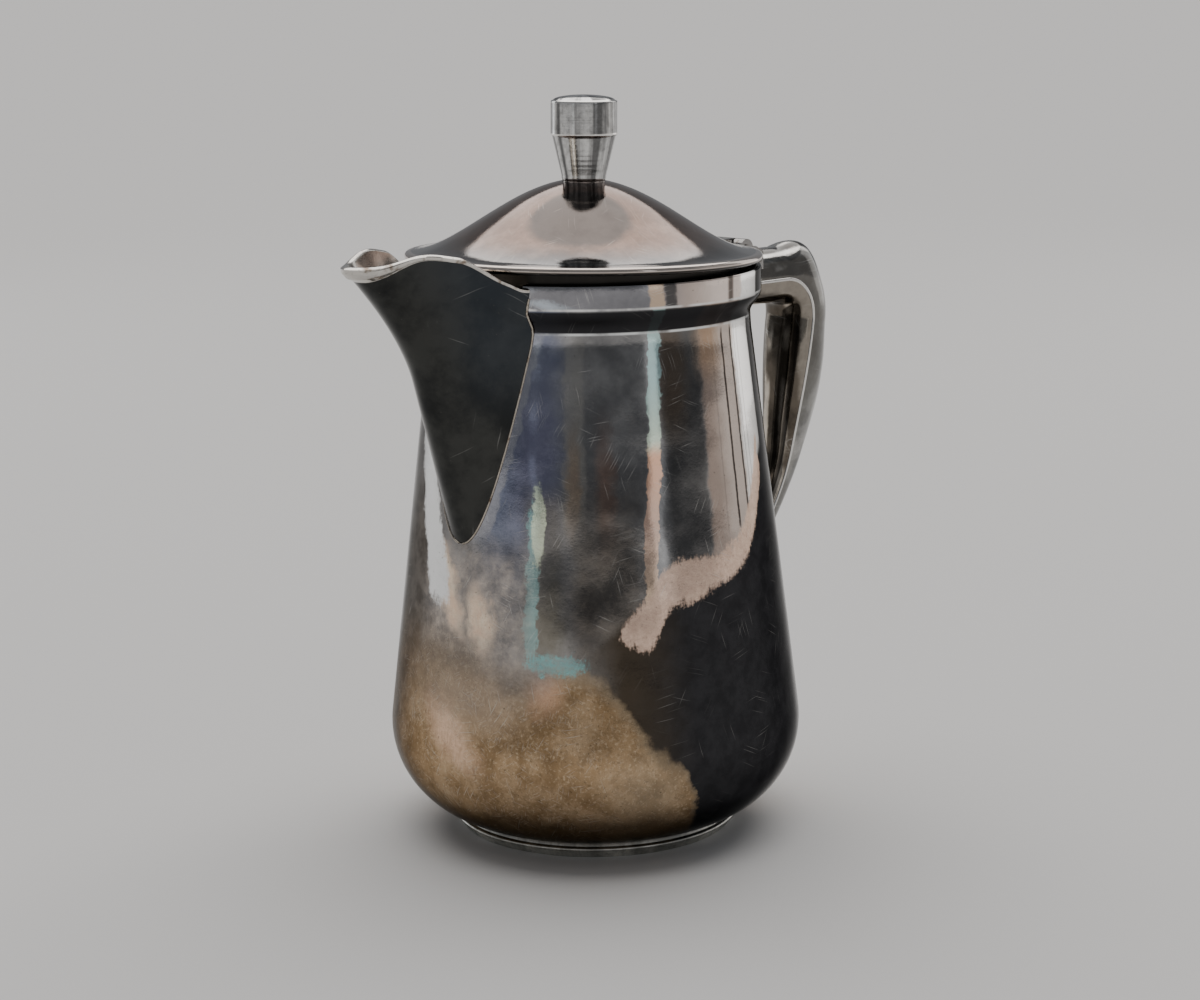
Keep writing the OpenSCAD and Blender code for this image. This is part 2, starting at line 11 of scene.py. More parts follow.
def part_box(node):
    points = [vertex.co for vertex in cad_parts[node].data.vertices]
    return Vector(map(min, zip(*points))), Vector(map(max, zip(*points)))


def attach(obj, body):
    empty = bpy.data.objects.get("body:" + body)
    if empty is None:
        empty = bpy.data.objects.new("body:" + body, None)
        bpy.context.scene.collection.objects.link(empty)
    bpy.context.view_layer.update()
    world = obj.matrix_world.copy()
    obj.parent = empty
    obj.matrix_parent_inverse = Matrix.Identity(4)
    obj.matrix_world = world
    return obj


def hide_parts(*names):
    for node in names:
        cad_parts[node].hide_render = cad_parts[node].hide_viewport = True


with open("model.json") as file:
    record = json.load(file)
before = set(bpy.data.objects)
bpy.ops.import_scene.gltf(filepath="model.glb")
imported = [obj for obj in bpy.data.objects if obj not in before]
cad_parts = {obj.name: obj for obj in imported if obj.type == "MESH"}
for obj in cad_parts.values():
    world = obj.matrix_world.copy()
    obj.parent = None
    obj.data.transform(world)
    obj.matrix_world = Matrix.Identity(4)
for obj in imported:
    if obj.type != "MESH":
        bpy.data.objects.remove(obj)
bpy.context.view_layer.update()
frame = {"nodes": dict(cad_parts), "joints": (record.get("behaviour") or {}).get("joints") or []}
NODES = frame["nodes"]
MM = 0.001
rad = math.radians

# ---------------- sizes (mm)
# Radii (_R) and heights (_H) of the turned body; the mouth and the hinge are read from the frame.
hinge = Vector(frame["joints"][0]["pos_m"]) / MM
MOUTH_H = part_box("body")[1].z / MM
SHOULDER_R, SHOULDER_CR, SHOULDER_CH = 16.3, 18.5, 18.0  # the belly's arc, and its centre's radius and height
CONE_R, CONE_H = 26.76, 85.0
NECK_R, NECK_H = 26.65, 87.3
COLLAR_R, COLLAR_H, RIM_ARC = 28.5, 91.2, 0.4
WALL, CROWN, COLLAR_RISE = 1.0, 0.6, 0.6  # the sheet, its rise in the floor's middle and inside the collar
SOLDER_GAP, FLARE_GAP = 0.04, 0.18
TAPER = math.atan2(CONE_H - SHOULDER_CH, CONE_R - SHOULDER_CR) - math.acos(
    SHOULDER_R / math.hypot(CONE_R - SHOULDER_CR, CONE_H - SHOULDER_CH))
CONE_LOW_R, CONE_LOW_H = SHOULDER_CR + SHOULDER_R * math.cos(TAPER), SHOULDER_CH + SHOULDER_R * math.sin(TAPER)
LID_R, LID_SHIFT, LID_ANGLE, LID_SEAT = 29.64, 1.35, 1.3, 95.43
DOME_H, LID_T, FLANGE_Z, RIM_R, STUD_HOLE_R = 11.9, 0.9, 1.35, 0.65, 1.4
FLANGE_R = LID_R - RIM_R
SHARP = 32.0  # degrees: steeper edges are shaded sharp


def mix(a, b, t):
    return a + (b - a) * t


def smooth(lo, hi, x):
    t = np.clip((np.asarray(x, float) - lo) / (hi - lo), 0, 1)
    return t * t * (3 - 2 * t)


# ---------------- mesh making
def make_object(name, verts, faces, sharp=SHARP, kinds=None):
    """A smooth-shaded mesh from points in mm. kinds gives each face's material slot."""
    me = bpy.data.meshes.new(name)
    me.from_pydata([tuple(v) for v in np.asarray(verts, float) * MM], [], faces)
    if kinds is not None:
        for _ in range(max(kinds) + 1):
            me.materials.append(None)
        me.polygons.foreach_set("material_index", kinds)
    bm = bmesh.new()
    bm.from_mesh(me)
    bmesh.ops.remove_doubles(bm, verts=bm.verts, dist=1e-7)
    bmesh.ops.recalc_face_normals(bm, faces=bm.faces)
    bm.to_mesh(me)
    bm.free()
    me.validate()
    me.shade_smooth()
    me.set_sharp_from_angle(angle=rad(sharp))
    ob = bpy.data.objects.new(name, me)
    bpy.context.scene.collection.objects.link(ob)
    return ob


def grid_faces(rows, cols, wrap_rows=False, wrap_cols=False):
    out = []
    for i in range(rows if wrap_rows else rows - 1):
        for j in range(cols if wrap_cols else cols - 1):
            a, b = i, (i + 1) % rows
            c, d = j, (j + 1) % cols
            out.append((a * cols + c, a * cols + d, b * cols + d, b * cols + c))
    return out


def revolve(name, loop, n=192, closed=True, sharp=SHARP):
    """A turned form from its outline of (radius, height) points."""
    loop = np.asarray(loop, float)
    a = np.linspace(0, 2 * math.pi, n, endpoint=False)
    pts = np.stack([loop[:, None, 0] * np.cos(a), loop[:, None, 0] * np.sin(a),
                    np.repeat(loop[:, 1:2], n, 1)], -1).reshape(-1, 3)
    return make_object(name, pts, grid_faces(len(loop), n, wrap_rows=closed, wrap_cols=True), sharp)


def arc(cx, cy, r, a0, a1, n):
    a = np.radians(np.linspace(a0, a1, n))
    return [(cx + r * math.cos(t), cy + r * math.sin(t)) for t in a]


def line(p, q, n):
    return [(mix(p[0], q[0], t), mix(p[1], q[1], t)) for t in np.linspace(0, 1, n)]


def cut(ob, cutter):
    """Cuts one mesh out of another for good, and removes it."""
    mod = ob.modifiers.new("cut", "BOOLEAN")
    mod.operation, mod.object, mod.solver = "DIFFERENCE", cutter, "EXACT"
    dg = bpy.context.evaluated_depsgraph_get()
    me = bpy.data.meshes.new_from_object(ob.evaluated_get(dg))
    ob.modifiers.clear()
    ob.data = me
    me.shade_smooth()
    me.set_sharp_from_angle(angle=rad(SHARP))
    bpy.data.objects.remove(cutter)


# ---------------- body
def body_radius(h):
    """The outside radius from the cone up to the collar."""
    h = np.asarray(h, float)
    cone = CONE_LOW_R + (CONE_R - CONE_LOW_R) * (h - CONE_LOW_H) / (CONE_H - CONE_LOW_H)
    throat = mix(CONE_R, NECK_R, (h - CONE_H) / (NECK_H - CONE_H))
    flare = mix(NECK_R, COLLAR_R, (1 - np.cos(np.pi * np.clip((h - NECK_H) / (COLLAR_H - NECK_H), 0, 1))) / 2)
    return np.where(h < CONE_H, cone, np.where(h < NECK_H, throat, flare))


def seat_radius(h):
    """Where soldered parts stand: a hair off the wall, and more at the collar's flare."""
    return body_radius(h) + SOLDER_GAP + FLARE_GAP * smooth(86, 88.5, h) * (1 - smooth(91, 93, h))


def side(t):
    """The wall's outline at a depth t into the sheet, from the floor's edge up to the collar."""
    a = np.linspace(-math.pi / 2, TAPER, 44)
    pts = [(SHOULDER_CR + (SHOULDER_R - t) * math.cos(x), SHOULDER_CH + (SHOULDER_R - t) * math.sin(x)) for x in a]
    end = (CONE_R - t * math.cos(TAPER), CONE_H - t * math.sin(TAPER))
    pts += line(pts[-1], end, 44)[1:]
    for h in np.linspace(NECK_H, COLLAR_H, 22):
        pts.append((float(body_radius(h)) - t, h + COLLAR_RISE * t))
    return pts


def make_body():
    floor_h = SHOULDER_CH - SHOULDER_R
    crown = [(r, floor_h + CROWN * (1 - (r / SHOULDER_CR) ** 2)) for r in np.linspace(0, SHOULDER_CR, 14)[:-1]]
    rim = [(COLLAR_R, 92.4), (COLLAR_R, 93.6)] + arc(COLLAR_R - RIM_ARC, MOUTH_H - RIM_ARC, RIM_ARC, 0, 90, 7)
    rim += [(COLLAR_R - WALL + 0.15, MOUTH_H), (COLLAR_R - WALL, MOUTH_H - 0.15)]
    inner = side(WALL)[::-1] + [(r, h + WALL) for r, h in crown[::-1]]
    ob = revolve("jug_body", crown + side(0) + rim + inner, 256, closed=False)
    # The opening behind the spout, cut by a prism that runs out past the wall and up past the mouth.
    half = np.stack(joint(np.linspace(0, 1, 40), 1), 1)
    over = MOUTH_H + 3
    loop = np.concatenate([half, [[half[-1, 0], over], [-half[-1, 0], over]], (half * [-1, 1])[:0:-1]])
    pts = [(x, y, z) for x in (-60, -5) for y, z in loop]
    n = len(loop)
    faces = [tuple(range(n)), tuple(range(2 * n - 1, n - 1, -1))]
    faces += [(i, n + i, n + (i + 1) % n, (i + 1) % n) for i in range(n)]
    cut(ob, make_object("cutter", pts, faces))
    return ob


# ---------------- spout
SP_LOW, SP_W, SP_LEAN, SP_TIP, CURL_H, CURL_P = 53.0, 12.0, 0.3, 53.0, 80.0, 1.685  # the front's line and curl
LIP_RISE, LIP_CREST, LIP_DROP, BEAD_H, BEAD_OUT, SP_T = 4.1, 1.5, 0.8, 1.7, 0.9, 1.05  # the rolled lip, the sheet
LAP, LOW_IN, JP, LP = 1.1, 2.2, 2.2, 6  # the lap on the wall, and the powers of the joint's and the lip's curves
SPOUT_BEAD_ROWS = 16
JOINT_TOP = MOUTH_H - LIP_DROP
LIP_SPAN = JP * (JOINT_TOP - SP_LOW) + LP * (LIP_RISE + LIP_DROP)
TIP_RISE = MOUTH_H + LIP_RISE - SP_LOW
CURL_K = (SP_TIP - float(body_radius(SP_LOW)) - SP_LEAN * TIP_RISE) / (MOUTH_H + LIP_RISE - CURL_H) ** CURL_P


def joint(u, inset):
    """Half the width and the height of the joint with the wall, from its foot at u 0 to the mouth at u 1."""
    low = SP_LOW + inset * LOW_IN
    return (SP_W - inset * LAP) * u, low + (JOINT_TOP - low) * u ** JP


def front_x(h, inset):
    """The spout's front line, outside at inset 0 and inside at inset 1."""
    over = np.maximum(0, h - CURL_H)
    slope = SP_LEAN + CURL_K * CURL_P * over ** (CURL_P - 1)
    return (-float(body_radius(SP_LOW)) - SP_LEAN * (h - SP_LOW) - CURL_K * over ** CURL_P
            + inset * SP_T * np.hypot(1, slope))


def lip_h(s):
    """The lip's height over the joint's top, from the tip at s 0 to the wall at s 1."""
    return (LIP_DROP + LIP_RISE * (1 - smooth(0.74, 0.98, s)) + LIP_CREST * np.exp(-((s - 0.6) / 0.17) ** 2)
            - LIP_DROP * smooth(0.92, 1, s))


def spout_skin(inset, rows=90, bead_rows=SPOUT_BEAD_ROWS, cols=121):
    """A grid of points over the spout's outer or inner face, with finer rows on the lip's bead."""
    s = np.linspace(-1, 1, cols)[None, :]
    sa = np.abs(s)
    size = BEAD_H * mix(1, 0.25, smooth(0.1, 0.6, sa))
    low_u = 1 - 1.3 * size / LIP_SPAN
    q = np.linspace(0, 1, rows)[:, None]
    b = np.linspace(0, 1, bead_rows)[1:, None]
    u = np.concatenate([low_u * (1 - (1 - q) ** 1.5), mix(low_u, 1, b)])
    bump = smooth(0, 0.3, b) * (1 - 0.7 * smooth(0.5, 1, b) ** 2)
    edge = np.concatenate([np.zeros_like(q), bump]) * BEAD_OUT * (1 - s * s) ** 2
    w, h = joint(u, inset)
    back = -np.sqrt(seat_radius(h) ** 2 - w * w)
    rise = lip_h(sa) * u ** LP
    front = np.minimum(back, front_x(h + float(lip_h(0.0)) * u ** LP, inset) - (1 - inset) * edge)
    return np.stack([mix(front, back, s * s), w * s, h + rise], -1)


def make_spout():
    out, inn = spout_skin(0), spout_skin(1)
    rows, cols = out.shape[:2]
    top = [mix(out[-1], inn[-1], t) + np.array([0, 0, 0.32 * math.sin(math.pi * t)])
           for t in (0.15, 0.35, 0.5, 0.65, 0.85)]
    strip = np.concatenate([out, np.stack(top), inn[::-1]])
    faces = grid_faces(len(strip), cols)
    kinds = [1 if i >= rows - SPOUT_BEAD_ROWS else 0 for i in range(len(strip) - 1) for _ in range(cols - 1)]
    n = len(strip)
    for j in (0, cols - 1):
        for i in range(rows - 1):
            a, b, c, d = i, i + 1, n - 2 - i, n - 1 - i
            faces.append((a * cols + j, b * cols + j, c * cols + j, d * cols + j))
            kinds.append(0)
    return make_object("spout_shell", strip.reshape(-1, 3), faces, 50, kinds)


def tube(name, path, radius, n=10):
    """A round bead along a path of points, with its ends closed."""
    path = np.asarray(path, float)
    tan = np.gradient(path, axis=0)
    tan /= np.linalg.norm(tan, axis=1)[:, None]
    ref = np.array([0.0, 1.0, 0.0]) if abs(tan[:, 1]).mean() < 0.7 else np.array([0.0, 0.0, 1.0])
    pts = []
    for p, t in zip(path, tan):
        a = np.cross(t, ref)
        a /= np.linalg.norm(a)
        b = np.cross(t, a)
        for k in range(n):
            x = 2 * math.pi * k / n
            pts.append(p + radius * (a * math.cos(x) + b * math.sin(x)))
    faces = grid_faces(len(path), n, wrap_cols=True)
    faces += [tuple(range(n)), tuple(range((len(path) - 1) * n, len(path) * n))]
    return make_object(name, pts, faces, 60)


def make_spout_bead():
    w, h = joint(np.linspace(0.04, 0.985, 70), 0)
    x = -np.sqrt(seat_radius(h) ** 2 - w * w)
    path = np.concatenate([np.stack([x, -w, h], 1)[::-1], np.stack([x, w, h], 1)])
    return tube("spout_solder", path, 0.2, 8)


# ---------------- handle
# The seam's line: a level arm, a tight bend, a leaning grip, a wide curve and a straight tail.
ARM_H, GRIP_X, BEND_R, LEAN, GRIP_LEN, TAIL_R, TAIL_A, TAIL_LEN = 88.7, 52.25, 7.0, 8.5, 23.0, 28.0, 133.0, 9.0
ARM_END = GRIP_X - BEND_R
BEND_H = ARM_H - BEND_R
SHELL_T, SEAM_GAP, SEAM_R = 0.8, 0.02, 0.34
LOW_X = ARM_END + BEND_R * math.sin(rad(90 + LEAN)) - GRIP_LEN * math.sin(rad(LEAN))
LOW_H = BEND_H + BEND_R * math.cos(rad(90 + LEAN)) - GRIP_LEN * math.cos(rad(LEAN))
TAIL_X = LOW_X - TAIL_R * (math.cos(rad(LEAN)) - math.cos(rad(TAIL_A - 90)))
TAIL_H = LOW_H - TAIL_R * (math.sin(rad(TAIL_A - 90)) - math.sin(rad(LEAN)))
Station = namedtuple("Station", "x h heading half outer inner")  # place, direction, half width, shells' depths


def half_width(x):
    return float(mix(4.5, 5.25, smooth(36, ARM_END + 5, x)))


def arm_station(x):
    return Station(x, ARM_H, 0.0, half_width(x), float(mix(4.2, 5.4, smooth(36.8, 38.6, x))), 4.5)


def bend_station(a):
    x = ARM_END + BEND_R * math.sin(rad(a))
    outer = mix(5.4, 8.4, smooth(4, 38, a)) - 1.1 * smooth(38, 66, a)
    inner = mix(4.5, 3.15, smooth(0, 80, a))
    return Station(x, BEND_H + BEND_R * math.cos(rad(a)), -a, half_width(x), float(outer), float(inner))


def low_station(x, h, heading):
    taper = float(smooth(43, 80, h))
    outer = mix(3.1, 8.2, smooth(45, 71, h)) - 0.9 * smooth(73, 81, h)
    return Station(x, h, heading, mix(2.05, 5.25, taper), float(outer), mix(1.4, 3.15, taper))


def stations():
    out = [arm_station(36.0)]
    out += [arm_station(x) for x in np.linspace(36.8, 38.6, 9)]
    out += [arm_station(x) for x in np.linspace(38.6, ARM_END, 10)[1:-1]]
    out += [bend_station(a) for a in np.linspace(0, 90 + LEAN, 44)]
    out += [low_station(LOW_X + r * math.sin(rad(LEAN)), LOW_H + r * math.cos(rad(LEAN)), -90 - LEAN)
            for r in np.linspace(GRIP_LEN, 0, 30)[1:]]
    out += [low_station(LOW_X - TAIL_R * (math.cos(rad(LEAN)) - math.cos(rad(a))),
                        LOW_H - TAIL_R * (math.sin(rad(a)) - math.sin(rad(LEAN))), -90 - a)
            for a in np.linspace(LEAN, TAIL_A - 90, 26)[1:]]
    out += [low_station(TAIL_X + r * math.cos(rad(TAIL_A)), TAIL_H - r * math.sin(rad(TAIL_A)), -TAIL_A)
            for r in np.linspace(0, TAIL_LEN, 10)[1:]]
    return out


def station_point(st, across, out):
    a = rad(st.heading)
    return np.array([st.x - out * math.sin(a), across, st.h + out * math.cos(a)])


def head_point(st, across, out):
    """The point run level onto the wall, where the arm meets it."""
    p = station_point(st, across, out)
    return np.array([math.sqrt(float(seat_radius(p[2])) ** 2 - p[1] ** 2), p[1], p[2]])


def tail_point(st, across, out):
    """The point run on along the tail to the wall's cone."""
    p = station_point(st, across, out)
    dx, dz = math.cos(rad(st.heading)), math.sin(rad(st.heading))
    slope = (CONE_R - CONE_LOW_R) / (CONE_H - CONE_LOW_H)
    r = float(body_radius(p[2])) + SOLDER_GAP
    a = dx ** 2 - (slope * dz) ** 2
    b = p[0] * dx - r * slope * dz
    c = p[0] ** 2 + p[1] ** 2 - r ** 2
    run = (-b - math.sqrt(b * b - a * c)) / a
    return np.array([p[0] + dx * run, p[1], p[2] + dz * run])


def along_handle():
    """Each station with the function that places its points: on the wall at both ends."""
    sts = stations()
    return [(sts[0], head_point), *((st, station_point) for st in sts), (sts[-1], tail_point)]


def make_shell(name, sign, n=40):
    """A half tube with its sheet thickness: the outer shell with sign 1, the inner one with sign -1."""
    ring = [(180 * i / n, 0) for i in range(n + 1)] + [(180 * i / n, 1) for i in range(n, -1, -1)]
    rows = []
    for st, place in along_handle():
        row = []
        for turn, inside in ring:
            t = SHELL_T * inside
            depth = (st.outer if sign > 0 else st.inner) - t
            out = SEAM_GAP + depth * max(0.0, math.sin(rad(turn))) ** 0.9
            row.append(place(st, (st.half - t) * math.cos(rad(turn)), sign * out))
        rows.append(row)
    m = len(ring)
    faces = grid_faces(len(rows), m, wrap_cols=True)
    for z in (0, (len(rows) - 1) * m):
        faces += [(z + i, z + i + 1, z + m - 2 - i, z + m - 1 - i) for i in range(n)]
    return make_object(name, np.array(rows).reshape(-1, 3), faces, 50)


def make_handle_beads():
    return [tube("handle_seam_" + name, [place(st, side_of * (st.half - 0.12), 0) for st, place in along_handle()],
                 SEAM_R, 10) for side_of, name in ((-1, "near"), (1, "far"))]


# ---------------- lid and knob
ON_LID = (Matrix.Translation(hinge * MM) @ Matrix.Rotation(rad(LID_ANGLE), 4, "Y")
          @ Matrix.Translation(Vector((-LID_SHIFT - hinge.x, 0, LID_SEAT - hinge.z)) * MM))


def dome_z(r):
    """The lid's top over its seat, at a radius from its own axis."""
    return FLANGE_Z + DOME_H * np.maximum(0, 1 - (np.asarray(r, float) / FLANGE_R) ** 2) ** 1.92


def under_z(r):
    return dome_z(r) - LID_T - 0.25 * smooth(8, 16, r) * (1 - smooth(18, 26, r))


def make_lid():
    top = [(r, float(dome_z(r))) for r in np.linspace(STUD_HOLE_R, FLANGE_R - 0.25, 90)]
    rim = arc(FLANGE_R, RIM_R, RIM_R, 78, -90, 20)
    rim += [(FLANGE_R - 0.35, 0.05), (FLANGE_R - 0.7, 0.3)]
    under = [(r, float(under_z(r))) for r in np.linspace(FLANGE_R - 0.9, STUD_HOLE_R, 60)]
    ob = revolve("lid_dome", top + rim + under, 224)
    ob.data.transform(ON_LID)
    return ob


KNOB_FOOT_R, STEM_R, KNOB_R, KNOB_GAP = 3.7, 5.2, 5.5, 0.05


def make_knob():
    z0 = FLANGE_Z + DOME_H
    head, top = z0 + 7.1, z0 + 12.7
    loop = [(r, float(dome_z(r)) + KNOB_GAP) for r in (0, 1.2, 2.4, 3.55)]
    loop += [(KNOB_FOOT_R, z0 + KNOB_GAP), (KNOB_FOOT_R, z0 + 0.4)]
    # The stem flares upward, with faint tool marks.
    stem = line((KNOB_FOOT_R + 0.02, z0 + 0.55), (STEM_R, head - 0.35), 26)
    loop += [(r + 0.007 * math.sin(i * 1.9), h) for i, (r, h) in enumerate(stem)]
    loop += [(KNOB_R - 0.2, head - 0.2), (KNOB_R - 0.06, head - 0.04), (KNOB_R, head + 0.1)]
    loop += line((KNOB_R, head + 0.2), (KNOB_R, top - 0.4), 8)
    loop += arc(KNOB_R - 0.3, top - 0.3, 0.3, 10, 80, 5)
    loop += [(5.08 * math.cos(rad(a)), top + 0.9 * math.sin(rad(a))) for a in np.linspace(6, 90, 14)]
    ob = revolve("lid_knob", loop, 160, closed=False, sharp=24)
    ob.data.transform(ON_LID)
    return ob


def make_foot():
    """A ring with a flat resting face and a stepped, rounded outside that meets the belly."""
    def seat(r):
        return (r, SHOULDER_CH - math.sqrt(SHOULDER_R ** 2 - (r - SHOULDER_CR) ** 2) - SOLDER_GAP)

    loop = arc(21.1, 0.3, 0.3, 180, 270, 5) + arc(22.9, 0.3, 0.3, 270, 340, 5)
    loop += [(23.35, 0.45), (23.7, 0.85), (24.0, 1.2)] + arc(23.85, 1.55, 0.35, -10, 90, 8)
    loop += [(23.5, 1.96), seat(23.3)] + [seat(r) for r in np.linspace(23.2, 20.8, 8)]
    return revolve("foot_rim", loop, 192)


body = make_body()
spout = make_spout()
spout_bead = make_spout_bead()
outer_shell = make_shell("handle_outer", 1)
inner_shell = make_shell("handle_inner", -1)
beads = make_handle_beads()
lid = make_lid()
knob = make_knob()
foot = make_foot()

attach(body, "jug"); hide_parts("body")
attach(spout, "jug"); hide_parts("spout")
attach(spout_bead, "jug")
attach(outer_shell, "jug"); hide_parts("handle_outer_shell")
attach(inner_shell, "jug"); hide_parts("handle_inner_shell")
for b in beads:
    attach(b, "jug")
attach(foot, "jug"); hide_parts("foot_ring")
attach(lid, "lid"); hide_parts("lid_cover")
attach(knob, "lid"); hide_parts("knob")
# The CAD's own hinge and fixings stay, with their edges eased.
SMALL_PARTS = ("hinge_bracket", "hinge_pin", "lid_leaf", "knob_nut", "knob_washer", "knob_stud")
for name in (*SMALL_PARTS, "lid_bezel"):
    mod = NODES[name].modifiers.new("edge", "BEVEL")
    mod.width, mod.segments, mod.limit_method, mod.angle_limit = 0.12 * MM, 2, "ANGLE", rad(40)


# ---------------- materials
class Mat:
    """A node material in the object's own coordinates, in mm. Each method adds nodes and returns their output."""

    def __init__(self, name):
        self.material = bpy.data.materials.new(name)
        self.material.use_nodes = True
        self.tree = self.material.node_tree
        self.shader = self.tree.nodes["Principled BSDF"]
        self.p = self.vmath("MULTIPLY", self.node("TexCoord").outputs["Object"], (1 / MM, 1 / MM, 1 / MM))

    def link(self, socket, value):
        """Links an output to a socket, or sets a number, vector or colour on it."""
        if isinstance(value, bpy.types.NodeSocket):
            self.tree.links.new(value, socket)
        elif hasattr(value, "__len__") and len(value) == 3 and len(socket.default_value) == 4:
            socket.default_value = (*value, 1)
        else:
            socket.default_value = value

    def node(self, kind, inputs=None, **settings):
        n = self.tree.nodes.new("ShaderNode" + kind)
        for key, value in settings.items():
            setattr(n, key, value)
        for key, value in (inputs or {}).items():
            self.link(n.inputs[key], value)
        return n

    def math(self, op, a, b=0.0, c=0.0, clamp=False):
        return self.node("Math", {0: a, 1: b, 2: c}, operation=op, use_clamp=clamp).outputs[0]

    def mul(self, a, b):
        return self.math("MULTIPLY", a, b)

    def mad(self, a, b, c, clamp=False):
        return self.math("MULTIPLY_ADD", a, b, c, clamp)

    def sub(self, a, b):
        return self.math("SUBTRACT", a, b)

    def invert(self, a):
        return self.sub(1.0, a)

    def length(self, u, v):
        return self.math("SQRT", self.math("ADD", self.mul(u, u), self.mul(v, v)))

    def vmath(self, op, a, b=(0, 0, 0)):
        n = self.node("VectorMath", {0: a, 1: b}, operation=op)
        return n.outputs["Value" if op in ("DOT_PRODUCT", "LENGTH") else "Vector"]

    def xyz(self, vec=None):
        return self.node("SeparateXYZ", {0: vec or self.p}).outputs

    def combine(self, x, y, z):
        return self.node("CombineXYZ", {0: x, 1: y, 2: z}).outputs[0]

    def noise(self, scale, detail=4, rough=0.55, vec=None, seed=None):
        inputs = {"Vector": vec or self.p, "Scale": scale, "Detail": detail, "Roughness": rough}
        if seed is None:
            return self.node("TexNoise", inputs).outputs["Fac"]
        return self.node("TexNoise", {"W": seed, **inputs}, noise_dimensions="4D").outputs["Fac"]

    def step(self, x, lo, hi):
        return self.node("MapRange", {"Value": x, "From Min": lo, "From Max": hi},
                         interpolation_type="SMOOTHSTEP").outputs["Result"]

    def mixc(self, f, a, b):
        return self.node("Mix", {0: f, 6: a, 7: b}, data_type="RGBA").outputs[2]

    def ramp(self, f, stops):
        n = self.node("ValToRGB", {0: f})
        while len(n.color_ramp.elements) < len(stops):
            n.color_ramp.elements.new(0.5)
        for e, (place, color) in zip(n.color_ramp.elements, stops):
            e.position, e.color = place, (*color, 1)
        return n.outputs[0]

    def bump(self, height, strength, dist_mm, normal=None):
        inputs = {"Strength": strength, "Distance": dist_mm * MM, "Height": height}
        return self.node("Bump", inputs if normal is None else {**inputs, "Normal": normal}).outputs[0]

    def finish(self, color, rough, normal):
        for key, value in (("Base Color", color), ("Roughness", rough), ("Metallic", 1.0), ("Normal", normal)):
            self.link(self.shader.inputs[key], value)
        return self.material


def give(materials, *objects):
    """One material for the whole of each piece, or a list for the slots that its faces already name."""
    for ob in objects:
        if isinstance(materials, list):
            for i, material in enumerate(materials):
                ob.data.materials[i] = material
        else:
            ob.data.materials.clear()
            ob.data.materials.append(materials)


# The near side, as the photograph shows it: BACK points from the jug to the viewer, RIGHT to the picture's right.
CAM_AZ = rad(-46)
BACK = Vector((math.sin(CAM_AZ), -math.cos(CAM_AZ), 0))
RIGHT = Vector((math.cos(CAM_AZ), math.sin(CAM_AZ), 0))

# Marks on the near side: angles in degrees toward the handle, heights in mm. The stripe and the panel are painted
# reflections.
REFLECTION_STRIPE, REFLECTED_PANEL, TEAL, FAR_SIDE = (17.9, 22.2), (39.5, 72), (-20.3, -16.4), 92
# The neck's band of painted shade: its low and high heights in mm.
NECK_SHADE = (87.25, 90.9)
# The lid's axis, and the painted dark reflection on its dome, a grey oval: how far out it lies and its half sizes, in
# mm.
LID_AXIS, REFLECTION_OVAL_OUT, REFLECTION_OVAL_HALF = (-LID_SHIFT, 0, 0), 14.5, (8.6, 7.2)
MM_PER_DEGREE, CELL = 0.52, 0.24  # round the wall; the part of a scratch's cell that its mark takes


